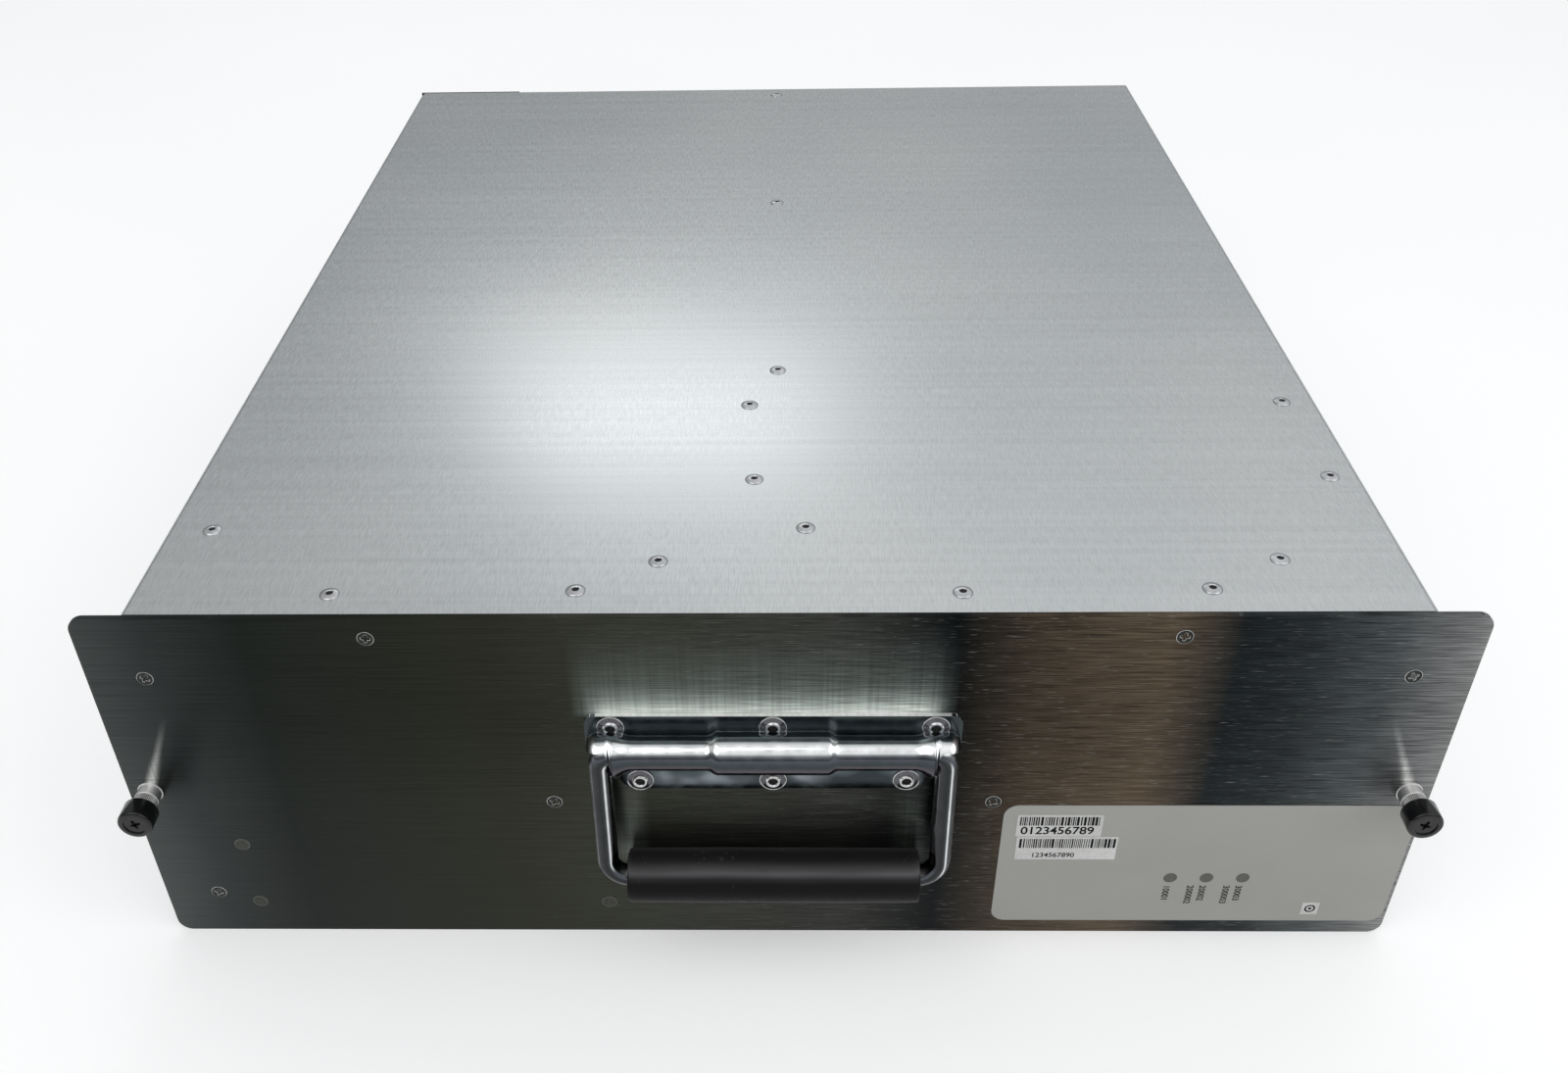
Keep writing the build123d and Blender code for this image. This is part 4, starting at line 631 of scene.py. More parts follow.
def sunk_steel(name, face, slope_highlight, flat):
    """Dull steel facing forwards, with a painted highlight where its edges slope away."""
    paint = Paint(name, face, 1, 0.34)
    forwards = paint.math("MULTIPLY", paint.part("Normal", "Y"), -1)
    grain = paint.noise(900, 4)
    # Painted highlight where the surface turns away from the front.
    tone = paint.blend(paint.span(forwards, flat, flat - 0.07), face, slope_highlight)
    paint.dress(paint.mottle(tone, grain, 0.8, 1.15), paint.spread(grain, 0.28, 0.42), grain, 0.00002, 0.3)


def screw_chrome():
    """Satin plating, pale enough to show before the dark panel, with painted shade on the sides that face left
    and right.
    """
    paint = Paint("screw_chrome", (0.75, 0.75, 0.73), 0.45, 0.34)
    grain = paint.noise((700, 60, 700), 4)
    # Painted shade on the sides that face left and right.
    side = paint.span(paint.math("ABSOLUTE", paint.part("Normal", "X"), 0), 0.35, 1)
    tone = paint.blend(side, (0.88, 0.88, 0.86), (0.16, 0.16, 0.16))
    paint.dress(paint.mottle(tone, grain, 0.85, 1.08), paint.spread(grain, 0.28, 0.44), grain, 0.00003, 0.4)


def moulded(name, colour, roughness, grain_scale, depth, worn=1.6, gloss=0.5):
    """Moulded plastic, rubber or print: a fine skin, slight clouds of tone and a worn sheen."""
    paint = Paint(name, colour, 0, roughness)
    paint.set("Specular IOR Level", gloss)
    grain = paint.noise(grain_scale, 4)
    cloud = paint.noise(35, 3)
    tone = paint.ramp(cloud, [(0.3, tinted(colour, 0.8)), (0.7, tinted(colour, worn))])
    paint.dress(
        paint.mottle(tone, grain, 0.9, 1.1),
        paint.spread(cloud, roughness * 0.85, min(roughness * 1.2, 1)), grain, depth, 0.5,
    )


def grip_rubber():
    """Smooth black rubber with a few short scuffs and a painted highlight band along its upper side."""
    paint = Paint("grip_rubber", (0.012, 0.012, 0.014), 0, 0.46)
    paint.set("Specular IOR Level", 0.14)
    grain = paint.noise(900, 4)
    # Painted highlight band by how far the rubber faces up, near-black below.
    highlight_band = paint.ramp(paint.part("Normal", "Z"), grip_highlight_tones)
    tone = paint.mottle(highlight_band, paint.noise((30, 200, 200), 4), 0.75, 1.15)
    near = paint.span(paint.noise(40, 1, offset=(0.4, 0, 0)), 0.54, 0.62)
    scuffs = paint.span(paint.noise((500, 500, 190), 1, offset=(2, 0, 0)), 0.64, 0.7)
    marks = paint.math("MULTIPLY", paint.math("MULTIPLY", scuffs, near), 0.22)
    paint.dress(
        paint.blend(marks, tone, (0.13, 0.125, 0.12)), paint.spread(grain, 0.42, 0.56), grain, 0.00005, 0.4,
    )


def black_foam():
    """Open foam: small cells with dark pores."""
    paint = Paint("black_foam", (0.012, 0.012, 0.013), 0, 0.95)
    pores = paint.cells((1300, 1300, 1300)).outputs["Distance"]
    paint.feed("Base Color", paint.ramp(pores, [(0.1, 0.004), (0.6, (0.028, 0.028, 0.03))]))
    paint.bump(pores, 0.0004, 0.8)


def label_film():
    """Warm grey printed film with a fine matte texture and slight soiling."""
    paint = Paint("label_film", (0.39, 0.39, 0.363), 0, 0.42)
    grain = paint.noise(1600, 3)
    soil = paint.noise((24, 24, 40), 4)
    tone = paint.ramp(soil, [(0.3, (0.37, 0.37, 0.343)), (0.7, (0.405, 0.405, 0.378))])
    paint.dress(paint.mottle(tone, grain, 0.97, 1.03), paint.spread(soil, 0.38, 0.5), grain, 0.00003, 0.3)


def board_green():
    """Green solder mask over copper tracks that show as faint lines."""
    paint = Paint("board_green", (0.03, 0.14, 0.06), 0, 0.3)
    tracks = paint.cells((160, 1, 120)).outputs["Distance"]
    paint.dress(
        paint.ramp(tracks, [(0.3, (0.024, 0.12, 0.05)), (0.36, (0.04, 0.18, 0.08))]),
        paint.spread(paint.noise(70, 3), 0.22, 0.4), tracks, 0.00005, 0.3,
    )


def floor_material():
    """Near-white floor, lifted to white for the camera and in reflections, with the object's shadow kept."""
    paint = Paint("floor", 0.86, 0, 0.6)
    cloud = paint.noise(3, 2)
    paint.feed("Base Color", paint.ramp(cloud, [(0.3, 0.85), (0.7, 0.87)]))
    paint.bump(paint.noise(400, 2), 0.0001, 0.1)
    rays = paint.add("ShaderNodeLightPath")
    seen = paint.math("MAXIMUM", rays.outputs["Is Camera Ray"], rays.outputs["Is Glossy Ray"])
    seen = paint.math("MAXIMUM", seen, rays.outputs["Is Transmission Ray"])
    paint.set("Emission Color", white)
    paint.feed("Emission Strength", paint.math("MULTIPLY", seen, floor_lift))


tables = (
    (rolled_metal, metals), (sunk_steel, sunk_steels), (polished, chromes), (moulded, plastics),
)
for make, rows in tables:
    for name, settings in rows.items():
        make(name, *settings)
makers = (
    panel_steel, cover_sheet, inner_sheet, screw_chrome, plate_chrome, grip_rubber, black_foam, label_film,
    board_green, floor_material,
)
for make in makers:
    make()
slot_of = {part["node"]: part["material_slot"] for part in frame["record"]["subparts"]}


def new_object(name, data):
    """An object put into the scene."""
    made = bpy.data.objects.new(name, data)
    bpy.context.scene.collection.objects.link(made)
    return made


def dress_nodes():
    """Gives every CAD node the finish of its own material slot."""
    for name, node in frame["nodes"].items():
        node.data.materials.clear()
        node.data.materials.append(finishes[slot_of[name]])


def skin(rings, around=True):
    """Quads over rings of points, each ring joined to the next, closed around when asked."""
    count = len(rings[0])
    vertices = [point for ring in rings for point in ring]
    faces = []
    for row in range(len(rings) - 1):
        for column in range(count if around else count - 1):
            beside = (column + 1) % count
            low = row * count
            high = low + count
            faces.append((low + column, low + beside, high + beside, high + column))
    return vertices, faces


def moved(shape, matrix):
    """A shape taken to another place."""
    vertices, faces = shape
    return [matrix @ Vector(point) for point in vertices], faces


def joined(shapes):
    """Several shapes as one."""
    vertices = []
    faces = []
    for points, quads in shapes:
        start = len(vertices)
        vertices += points
        faces += [tuple(start + index for index in quad) for quad in quads]
    return vertices, faces


def ring(count, point):
    """Points once round, each from a function of its angle."""
    return [point(2 * pi * index / count) for index in range(count)]


def lathe(outline, count=turned_sides):
    """A turned shape about Z from (radius, height) points in millimetres."""
    return skin([ring(count, lambda a: (r * cos(a) * mm, r * sin(a) * mm, z * mm)) for r, z in outline])


def relief(radius, height, count, rows):
    """A round face whose height at each point comes from a function of its place, all in millimetres."""
    rings = []
    for row in range(rows + 1):
        r = radius * row / rows
        places = ring(count, lambda turn: (r * cos(turn), r * sin(turn)))
        rings.append([(x * mm, y * mm, height(x, y) * mm) for x, y in places])
    return skin(rings)


def piece(name, shape, finish, body, slot_name=None, nodes=(), sharp=sharp_deg):
    """A named object from vertices and faces, cleaned, smoothed and set on its body."""
    mesh = bpy.data.meshes.new(name)
    mesh.from_pydata([tuple(point) for point in shape[0]], [], shape[1])
    edit = bmesh.new()
    edit.from_mesh(mesh)
    bmesh.ops.remove_doubles(edit, verts=edit.verts, dist=weld_gap)
    bmesh.ops.dissolve_degenerate(edit, edges=edit.edges, dist=weld_gap)
    bmesh.ops.recalc_face_normals(edit, faces=edit.faces)
    edit.to_mesh(mesh)
    edit.free()
    mesh.shade_smooth()
    mesh.set_sharp_from_angle(angle=radians(sharp))
    made = new_object(name, mesh)
    made.data.materials.append(finishes[finish])
    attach(made, body)
    if nodes:
        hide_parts(*nodes)
    return made


def body_of(node):
    """The body that a CAD node rides on."""
    return frame["nodes"][node]["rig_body"]


def facing_front(x, depth, z):
    """Stands a shape made along +Z on a place, with its +Z towards the viewer in front of the panel."""
    return Matrix.Translation(place(x, depth, z)) @ Matrix.Rotation(quarter_turn, 4, "X")


def front_of(box, depth=0):
    """The stand in front of the panel at the middle of a box."""
    centre = (box[0] + box[1]) / 2
    return facing_front(centre.x / mm, depth, centre.z / mm)


def solids(node):
    """The lowest and highest corners of each separate solid of a CAD node."""
    edit = bmesh.new()
    edit.from_mesh(frame["nodes"][node].data)
    bmesh.ops.remove_doubles(edit, verts=edit.verts, dist=solid_weld_gap)
    left = set(edit.verts)
    boxes = []
    while left:
        stack = [left.pop()]
        found = list(stack)
        while stack:
            for edge in stack.pop().link_edges:
                for vertex in edge.verts:
                    if vertex in left:
                        left.discard(vertex)
                        stack.append(vertex)
                        found.append(vertex)
        points = [vertex.co.copy() for vertex in found]
        low = Vector([min(point[axis] for point in points) for axis in range(3)])
        high = Vector([max(point[axis] for point in points) for axis in range(3)])
        boxes.append((low, high))
    edit.free()
    return sorted(boxes, key=lambda box: tuple(box[0]))


def rounded_outline(width, height, corner):
    """Points round a rounded rectangle about the origin, in millimetres."""
    points = []
    for quarter, (sx, sy) in enumerate(((1, 1), (-1, 1), (-1, -1), (1, -1))):
        cx = sx * (width / 2 - corner)
        cy = sy * (height / 2 - corner)
        for share in steps(0, 1, corner_steps):
            turn = (quarter + share) * quarter_turn
            points.append((cx + corner * cos(turn), cy + corner * sin(turn)))
    return points


def bevelled_plate(width, height, corner, thick, edge):
    """A rounded plate with its front at depth 0 and rounded rims, as (x, depth, z) rings in millimetres."""
    rings = []
    middle = quarter_turn / 2
    profile = [(edge, 0), (edge * (1 - sin(middle)), edge * (1 - cos(middle))), (0, edge)]
    profile += [(inset, thick - depth) for inset, depth in reversed(profile)]
    for inset, depth in profile:
        ring = rounded_outline(width - 2 * inset, height - 2 * inset, max(corner - inset, edge))
        rings.append([(x, depth, z) for x, z in ring])
    count = len(rings[0])
    vertices, faces = skin(rings)
    faces.append(tuple(range(count)))
    faces.append(tuple(range(len(vertices) - count, len(vertices))))
    return vertices, faces


def in_front(shape, x, z, depth=0):
    """Turns (x, depth, z) millimetres about a place on the panel into metres."""
    vertices, faces = shape
    return [place(x + px, depth + py, z + pz) for px, py, pz in vertices], faces


def make_panel():
    """The front plate with rounded rims that catch a bright line."""
    width = (panel_high.x - panel_low.x) / mm
    height = panel_high.z / mm
    thick = (panel_high.y - panel_low.y) / mm
    plate = bevelled_plate(width, height, panel_corner, thick, panel_edge)
    shape = in_front(plate, 0, height / 2)
    piece("panel_plate", shape, "panel_steel", "tray", "panel_steel", ["front_panel"])


def cross_depth(x, y, reach, half, depth):
    """The depth of a driver's cross at one point of a screw's face."""
    near = min(abs(x), abs(y))
    far = max(abs(x), abs(y))
    wide = half * (1 - far / reach / 2)
    across = 1 - smooth(near, wide, wide * cross_flank)
    return depth * across * (1 - smooth(far, reach * cross_taper_share, reach))


def cross_floor():
    """The floor of a driver's cross, pale as a painted highlight: two bars, widest in the middle."""
    half = screw_cross_half * mm
    reach = screw_cross_reach * cross_length_share * mm
    sunk = -screw_cross_depth * cross_sunk_share * mm
    corners = [(-reach, -half / 2, sunk), (0, -half, sunk), (reach, -half / 2, sunk)]
    corners += [(reach, half / 2, sunk), (0, half, sunk), (-reach, half / 2, sunk)]
    bar = (corners, [tuple(range(len(corners)))])
    return joined([bar, moved(bar, Matrix.Rotation(quarter_turn, 4, "Z"))])


def make_panel_screws():
    """Countersunk screws with cross recesses and a shank behind the panel."""

    def face(x, y):
        rim = screw_rim_drop * smooth(sqrt(x * x + y * y), screw_head_r * screw_rim_share, screw_head_r)
        return -rim - cross_depth(x, y, screw_cross_reach, screw_cross_half, screw_cross_depth)

    head = relief(screw_head_r, face, *screw_mesh)
    shank = lathe(screw_shank)
    floor = cross_floor()
    shapes = []
    crosses = []
    for box in solids("panel_screws"):
        turn = Matrix.Rotation(chance.uniform(-screw_turn, screw_turn), 4, "Z")
        at = front_of(box, -screw_lift)
        shapes += [moved(head, at @ turn), moved(shank, at)]
        crosses.append(moved(floor, at @ turn))
    # The crosses' floors in a painted highlight.
    piece("panel_screw_crosses", joined(crosses), "rivet_bright", "tray")
    piece("panel_screw_heads", joined(shapes), "screw_steel", "tray", "screw_steel", ["panel_screws"])


def make_flush_studs():
    """Studs pressed in flush with the panel, which show as faint rings, with their threads behind it."""

    def face(x, y):
        return stud_lift - stud_groove * smooth(sqrt(x * x + y * y), *stud_groove_rs)

    stud = joined([relief(stud_r, face, *stud_mesh), lathe(stud_shank)])
    shape = joined([moved(stud, front_of(box)) for box in solids("panel_studs")])
    piece("flush_studs", shape, "stud_steel", "tray", "panel_steel", ["panel_studs"])


def make_cover_rivets():
    """Domed blind rivets with the broken-off mandrel sunk in the middle, in near-black painted shade."""
    rivet = lathe(cover_rivet, cover_rivet_sides)
    core = lathe(cover_core, cover_core_sides)
    places = []
    for low, high in solids("cover_rivets"):
        centre = (low + high) / 2
        if high.z > cover_high.z + mm / 10:
            places.append(Matrix.Translation((centre.x, centre.y, cover_high.z)))
            continue
        side = 1 if centre.x > 0 else -1
        at = Matrix.Translation((side * cover_high.x, centre.y, centre.z))
        places.append(at @ Matrix.Rotation(side * quarter_turn, 4, "Y"))
    domes = joined([moved(rivet, at) for at in places])
    cores = joined([moved(core, at) for at in places])
    piece("cover_rivet_heads", domes, "rivet_metal", "tray", "rivet_metal", ["cover_rivets"])
    # The mandrels in near-black painted shade.
    piece("cover_rivet_cores", cores, "hollow_black", "tray")


def make_handle_rivets():
    """Large blind rivets: a thin rim and a raised lip in a painted highlight, a sloping flange in painted
    shade, round a hole in near-black painted shade.
    """
    flange = joined([lathe(rivet_flange, rivet_sides), lathe(rivet_tail, rivet_tail_sides)])
    places = [front_of(box, -plate_thick) for box in solids("handle_rivets")]
    # Painted highlight on the lips and rims, painted shade on the flanges, near-black painted shade in the
    # holes.
    rows = (
        ("handle_rivet_flanges", flange, "rivet_dark", "rivet_metal", ["handle_rivets"]),
        ("handle_rivet_lips", lathe(rivet_lip, rivet_sides), "rivet_bright"),
        ("handle_rivet_rims", lathe(rivet_rim, rivet_sides), "rivet_bright"),
        ("handle_rivet_cores", lathe(rivet_core, rivet_tail_sides), "hollow_black"),
    )
    for name, shape, finish, *settings in rows:
        piece(name, joined([moved(shape, at) for at in places]), finish, "tray", *settings)


def bead_size(x):
    """The bead's radius and how far it has risen, at one place along the handle plate."""
    off = abs(x)
    radius = bead_r
    radius += (bead_middle_r - bead_r) * (1 - smooth(off, bead_middle_half, bead_middle_half + bead_blend))
    radius += (hood_r - bead_r) * smooth(off, hood_start - hood_blend, hood_start)
    past = max(off - (plate_half - hood_dome), 0) / hood_dome
    return radius, sqrt(max(1 - past * past, 0))


def plate_section(x):
    """The handle plate's outer face at one place along it, as (depth, height) points from its top edge down."""
    off = abs(x)
    radius, rise = bead_size(x)
    reach = radius * rise
    stand = (bead_depth - plate_thick) * rise
    start = -asin((bead_depth - plate_thick) / radius)
    flare = flare_drop * smooth(off, hood_start - flare_blend, hood_start) ** 2
    cut = max(off - (plate_half - plate_corner), 0)
    top = plate_top - plate_corner + sqrt(plate_corner**2 - cut**2)
    crease = bead_z + reach * cos(start)
    lip = pi - start
    if off > hood_start:
        left = 1 - (off - hood_start) / (plate_half - hood_start)
        lip = hood_lip + (pi - start - hood_lip) * left**hood_curve
    points = [(-plate_thick, top), (-plate_thick, top - plate_edge), (-plate_thick, crease + plate_edge)]
    for turn in steps(start, lip, bead_turns):
        drop = flare * smooth(turn, quarter_turn, pi)
        points.append((-plate_thick - stand - reach * sin(turn), bead_z + reach * cos(turn) - drop))
    return points


def make_plate_rim_highlight():
    """A painted highlight: a bright strip along the plate's top edge."""
    rows = []
    for x in steps(-plate_half, plate_half, rim_columns):
        top = plate_section(x)[0][1] + rim_lift
        rows.append([tuple(place(x, depth, top)) for depth in (-plate_thick - rim_lift, -plate_thick / 2, 0)])
    piece("handle_plate_rim_highlight", skin(rows, False), "screw_chrome", "tray")


def make_handle_plate():
    """The stamped plate: top flange, bead with a wider middle, hoods over the bail's corners and a foot."""
    columns = set(steps(-plate_half, plate_half, bead_columns) + [-hood_start, hood_start])
    columns |= {-hood_start - hood_step, hood_start + hood_step}
    rows = [[tuple(place(x, depth, z)) for depth, z in plate_section(x)] for x in sorted(columns)]
    shape = skin(rows, False)
    bead = piece("handle_plate_bead", shape, "handle_chrome", "tray", "handle_chrome", sharp=bead_sharp_deg)
    wall = bead.modifiers.new("wall", "SOLIDIFY")
    wall.thickness = plate_thick * mm * bead_wall_share
    wall.offset = -1
    rim = bead.modifiers.new("rim", "EDGE_SPLIT")
    rim.split_angle = radians(bead_split_deg)
    # The painted highlight along the top edge.
    make_plate_rim_highlight()
    height = bead_z - plate_foot
    foot = bevelled_plate(2 * foot_half, height, foot_corner, plate_thick, foot_edge)
    shape = in_front(foot, 0, plate_foot + height / 2, -plate_thick)
    piece("handle_plate_foot", shape, "plate_chrome", "tray", "handle_chrome")
    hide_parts("handle_plate")


def rod_path():
    """The centre line of the bail before its tilt: points across the plate and down from its axis."""
    end = rod_end_gap / 2
    corners = [
        ((-end, -leg_length), 0), ((-leg_x, -leg_length), rod_foot_r), ((-leg_x, 0), rod_top_r),
        ((leg_x, 0), rod_top_r), ((leg_x, -leg_length), rod_foot_r), ((end, -leg_length), 0),
    ]
    points = []
    for index, (corner, radius) in enumerate(corners):
        here = Vector(corner)
        if not radius:
            points.append(here)
            continue
        back = (Vector(corners[index - 1][0]) - here).normalized()
        ahead = (Vector(corners[index + 1][0]) - here).normalized()
        centre = here + (back + ahead) * radius
        first = here + back * radius - centre
        last = here + ahead * radius - centre
        for turn in steps(0, quarter_turn, rod_bend_steps):
            points.append(centre + first * cos(turn) + last * sin(turn))
    return points


def handle_rest():
    """The bail's own place: its axis on the panel and its tilt at rest."""
    tilt = asin((grip_r + rest_gap - bead_depth) / leg_length)
    return Matrix.Translation(place(0, -bead_depth, bead_z)) @ Matrix.Rotation(-tilt, 4, "X")


def make_bail():
    """The round rod, swept along its bends."""
    points = rod_path()
    rings = []
    for index, point in enumerate(points):
        ahead = points[min(index + 1, len(points) - 1)]
        behind = points[max(index - 1, 0)]
        along = (ahead - behind).normalized()
        out = Vector((-along.y, along.x))

        def around(turn):
            flat = point + out * rod_r * cos(turn)
            return flat.x * mm, rod_r * sin(turn) * mm, flat.y * mm

        rings.append(ring(rod_sides, around))
    shape = moved(skin(rings), handle_rest())
    piece("bail_rod", shape, "rod_chrome", "handle", "handle_chrome", ["handle_bail"])


def make_grip():
    """The rubber sleeve, very slightly barrelled, with soft ends."""
    end = [(-grip_half + inset, change) for inset, change in grip_end]
    plain = steps(-grip_half + grip_plain_inset, grip_half - grip_plain_inset, grip_stations)
    stations = [(-grip_half, rod_r - grip_r)] + end + [(x, 0) for x in plain]
    stations += [(-x, change) for x, change in reversed(end)] + [(grip_half, rod_r - grip_r)]
    rings = []
    for x, change in stations:
        barrel = grip_barrel * (1 - (x / grip_half) ** 2)
        radius = grip_r - grip_barrel + change + (barrel if change == 0 else 0)

        def around(turn):
            return x * mm, radius * cos(turn) * mm, (radius * sin(turn) - leg_length) * mm

        rings.append(ring(grip_sides, around))
    shape = moved(skin(rings), handle_rest())
    piece("grip_sleeve", shape, "grip_rubber", "handle", "grip_rubber", ["handle_grip"])


def knurled_ferrules():
    """The two sleeves on the panel, plain at the foot and knurled near the knob."""
    rings = []
    for radius, height in ferrule_outline:
        toothed = knurl_start <= height < ferrule_length and radius == ferrule_r

        def around(turn):
            r = radius - (knurl_depth * (1 + cos(turn * knurl_teeth)) if toothed else 0)
            return r * cos(turn) * mm, r * sin(turn) * mm, height * mm

        rings.append(ring(knurl_teeth * 4, around))
    sleeve = skin(rings)
    shape = joined([moved(sleeve, front_of(box)) for box in solids("screw_ferrules")])
    piece("knurled_ferrules", shape, "screw_chrome", "tray", "screw_chrome", ["screw_ferrules"])


def make_captive_spring(side):
    """The coil under a knob: a copy of the CAD spring with a mesh of its own, riding on the spring's body."""
    node = f"{side}_screw_spring"
    spring = frame["nodes"][node].copy()
    spring.data = spring.data.copy()
    spring.name = f"{side}_captive_coil"
    bpy.context.scene.collection.objects.link(spring)
    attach(spring, body_of(node))
    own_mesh(spring)
    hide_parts(node)


def make_knob(side):
    """A knob with soft rims and a driver's cross sunk in its end."""

    def face(x, y):
        return knob_face_z - cross_depth(x, y, knob_cross_reach, knob_cross_half, knob_cross_depth)

    node = f"{side}_screw_knob"
    at = front_of(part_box(node))
    turn = Matrix.Rotation(chance.uniform(-knob_turn, knob_turn), 4, "Z")
    end = relief(knob_face_r, face, *knob_face_mesh)
    shape = joined([moved(lathe(knob_outline, knob_sides), at), moved(end, at @ turn)])
    piece(f"{side}_knob", shape, "knob_plastic", body_of(node), "knob_plastic", [node])


def bars(x0, x1, z0, z1, depth):
    """A row of upright bars of mixed widths, as on any stock label."""
    shapes = []
    x = x0
    while x < x1:
        width = chance.choice(bar_widths)
        corners = [(x, depth, z0), (x + width, depth, z0), (x + width, depth, z1), (x, depth, z1)]
        shapes.append(([place(*corner) for corner in corners], [tuple(range(len(corners)))]))
        x += width + chance.choice(bar_gaps)
    return joined(shapes)


def digits(name, text, x, z, height, depth, turned=0):
    """Printed figures on the label, set from their left end."""
    curve = bpy.data.curves.new(name, "FONT")
    curve.body = text
    curve.size = height * mm
    curve.space_line = line_gap
    curve.offset = height * bold_share * mm
    made = new_object(name, curve)
    made.matrix_world = facing_front(x, depth, z) @ Matrix.Rotation(turned, 4, "Z")
    made.data.materials.append(finishes["printed_black"])
    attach(made, "tray")


def print_stickers():
    """A ring on the small sticker, and stripes over plain figures on the two others."""
    for index, (low, high) in enumerate(solids("label_stickers")):
        depth = (low.y - front) / mm - print_lift
        x0, x1, z0, z1 = (value / mm for value in (low.x, high.x, low.z, high.z))
        if x1 - x0 < small_sticker:
            ring = joined([lathe(sticker_ring, sticker_ring_sides), lathe(sticker_dot, sticker_dot_sides)])
            at = facing_front((x0 + x1) / 2, depth, (z0 + z1) / 2)
            piece("label_ring", moved(ring, at), "printed_black", "tray")
            continue
        middle = z1 - (z1 - z0) * bar_height_share
        row = bars(x0 + bars_inset, x1 - bars_inset, middle, z1 - bars_top_inset, depth)
        piece(f"label_bars_{index}", row, "printed_black", "tray")
        text, height, inset = sticker_figures[index]
        digits(f"label_digits_{index}", text, x0 + inset, z0 + figures_foot, height, depth)


def print_legends():
    """Plain numbers under the three lights, where the photograph has words."""
    depth = (label_face - front) / mm - print_lift
    for number, (low, high) in enumerate(solids("led_windows"), 1):
        x = (low.x + high.x) / 2 / mm - legend_height / 2
        z = low.z / mm - legend_gap
        digits(f"lamp_number_{number}", legends[number - 1], x, z, legend_height, depth, -quarter_turn)


def make_gasket():
    """The foam strip on the rear edge, with softened rims."""
    low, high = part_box("rear_gasket")
    mesh = bpy.data.meshes.new("foam_strip")
    edit = bmesh.new()
    bmesh.ops.create_cube(edit, size=1, matrix=Matrix.LocRotScale((low + high) / 2, None, high - low))
    bmesh.ops.subdivide_edges(edit, edges=edit.edges, cuts=foam_cuts, use_grid_fill=True)
    edit.to_mesh(mesh)
    edit.free()
    foam = new_object("foam_strip", mesh)
    rim = foam.modifiers.new("rim", "BEVEL")
    rim.width = foam_edge * mm
    rim.segments = foam_edge_steps
    mesh.shade_smooth()
    foam.data.materials.append(finishes["black_foam"])
    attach(foam, "tray")
    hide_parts("rear_gasket")


def soften_rear_frame():
    """Rounds the rear frame's sheet edges a little, so that they catch light."""
    node = frame["nodes"]["rear_frame"]
    weld = node.modifiers.new("weld", "WELD")
    weld.merge_threshold = weld_gap
    rim = node.modifiers.new("rim", "BEVEL")
    rim.width = frame_edge * mm
    rim.segments = frame_edge_steps
    rim.limit_method = "ANGLE"
    rim.angle_limit = frame_edge_limit
    rim.harden_normals = True


def set_camera():
    """The camera that the photograph was taken from."""
    data = bpy.data.cameras.new("camera")
    data.lens = camera_lens
    data.shift_x, data.shift_y = camera_shift
    data.clip_start = camera_clip
    camera = new_object("camera", data)
    level = Vector((cos(camera_yaw), -sin(camera_yaw), 0))
    forwards = Vector((sin(camera_yaw), cos(camera_yaw), 0))
    ahead = forwards * cos(camera_pitch) - Vector((0, 0, sin(camera_pitch)))
    up = level.cross(ahead)
    right = level * cos(camera_roll) + up * sin(camera_roll)
    above = up * cos(camera_roll) - level * sin(camera_roll)
    turn = Matrix((right, above, -ahead)).transposed()
    camera.matrix_world = Matrix.Translation(camera_place) @ turn.to_4x4()
    bpy.context.scene.camera = camera


def set_lamp(name, at, towards, size, size_y, power):
    """A soft rectangular lamp, hidden from the camera itself."""
    data = bpy.data.lights.new(name, "AREA")
    data.shape = "RECTANGLE"
    data.size = size
    data.size_y = size_y
    data.energy = power
    made = new_object(name, data)
    made.location = at
    made.rotation_euler = (Vector(towards) - Vector(at)).to_track_quat("-Z", "Y").to_euler()
    made.visible_camera = False


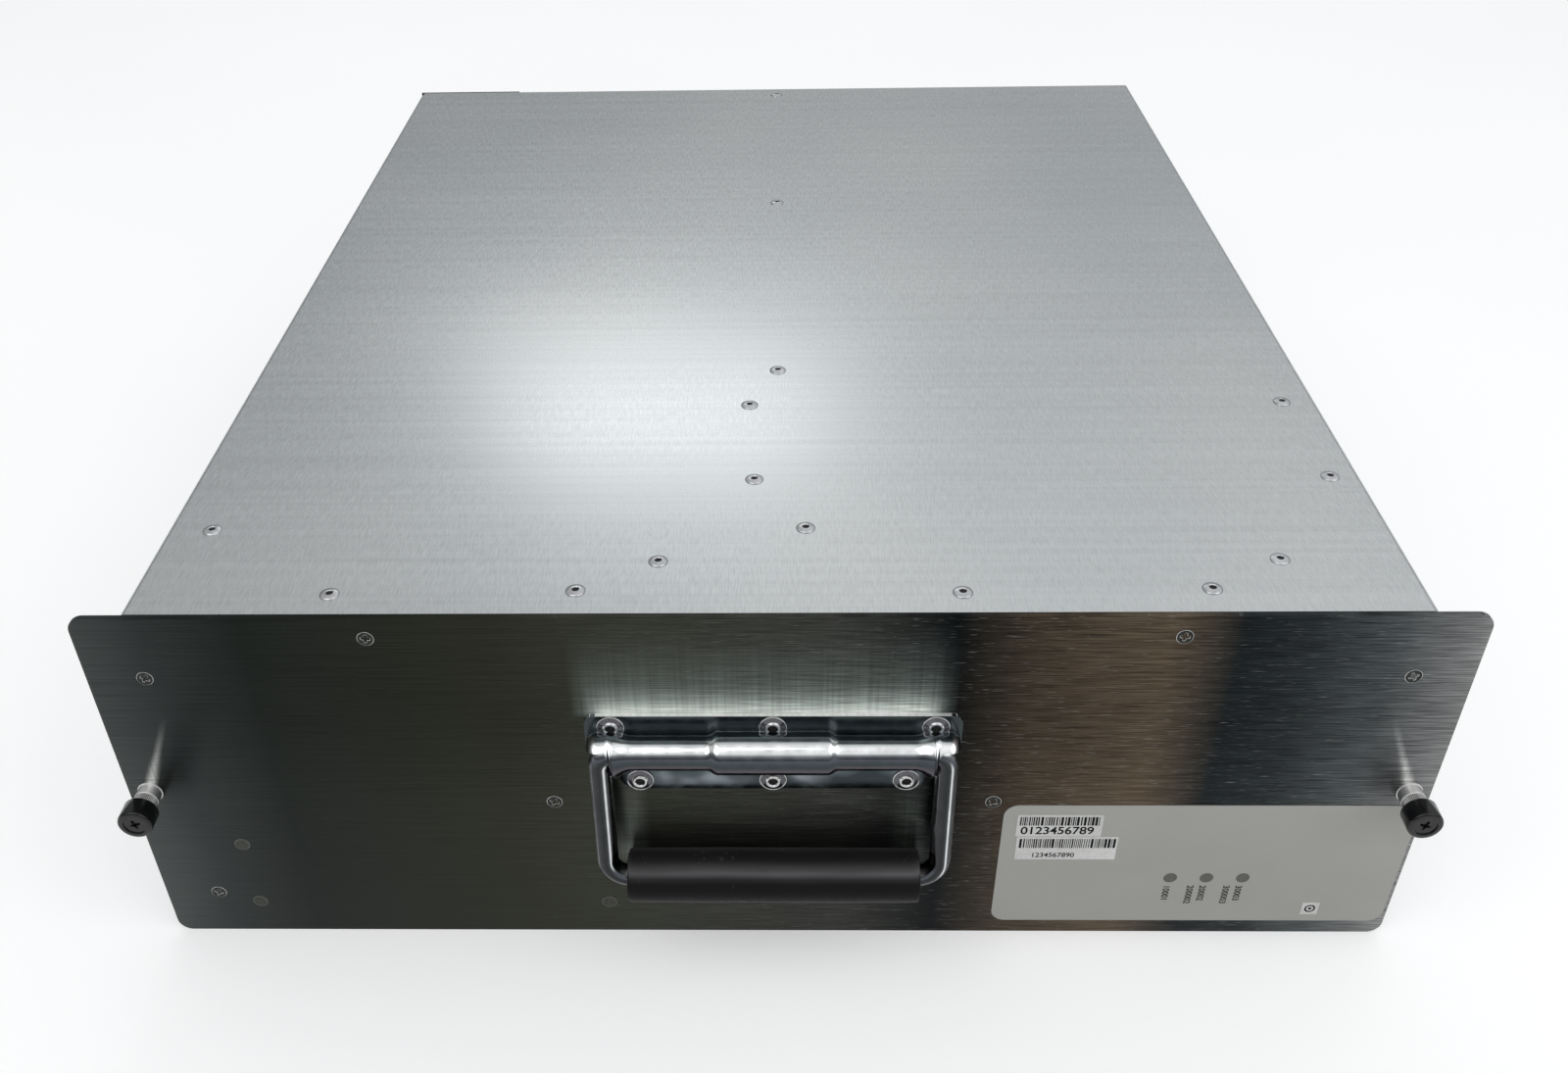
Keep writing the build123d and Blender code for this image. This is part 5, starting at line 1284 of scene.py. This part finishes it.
def set_sky():
    """A soft grey sky, paler overhead and dimmer to the left, that the camera itself sees as white."""
    world = bpy.data.worlds.new("sky")
    world.use_nodes = True
    bpy.context.scene.world = world
    nodes = world.node_tree.nodes
    connect = world.node_tree.links.new
    sky = nodes["Background"]
    split = nodes.new("ShaderNodeSeparateXYZ")
    connect(nodes.new("ShaderNodeTexCoord").outputs["Generated"], split.inputs["Vector"])
    ramp = nodes.new("ShaderNodeValToRGB")
    for point, (position, colour) in zip(ramp.color_ramp.elements, sky_stops):
        point.position, point.color = position, colour
    connect(split.outputs["Z"], ramp.inputs["Fac"])
    connect(ramp.outputs["Color"], sky.inputs["Color"])
    dimming = nodes.new("ShaderNodeMapRange")
    for name, number in sky_dimming:
        dimming.inputs[name].default_value = number
    connect(split.outputs["X"], dimming.inputs["Value"])
    connect(dimming.outputs["Result"], sky.inputs["Strength"])
    plain = nodes.new("ShaderNodeBackground")
    plain.inputs["Color"].default_value = white
    mixed = nodes.new("ShaderNodeMixShader")
    connect(nodes.new("ShaderNodeLightPath").outputs["Is Camera Ray"], mixed.inputs[0])
    connect(sky.outputs["Background"], mixed.inputs[1])
    connect(plain.outputs["Background"], mixed.inputs[2])
    connect(mixed.outputs["Shader"], nodes["World Output"].inputs["Surface"])


def set_room():
    """A pale floor, a soft sky and three lamps."""
    mesh = bpy.data.meshes.new("floor")
    corners = [(x * floor_half, y * floor_half, 0) for x, y in ((-1, -1), (1, -1), (1, 1), (-1, 1))]
    mesh.from_pydata(corners, [], [tuple(range(len(corners)))])
    floor = new_object("floor", mesh)
    floor.data.materials.append(finishes["floor"])
    set_sky()
    for name, settings in lamps.items():
        set_lamp(name, *settings)


bpy.context.scene.view_settings.view_transform = "Standard"
set_camera()
set_room()
dress_nodes()
make_panel()
make_panel_screws()
make_flush_studs()
make_cover_rivets()
make_handle_plate()
make_handle_rivets()
make_bail()
make_grip()
knurled_ferrules()
for side in ("left", "right"):
    make_knob(side)
print_stickers()
print_legends()
for side in ("left", "right"):
    make_captive_spring(side)
make_gasket()
soften_rear_frame()
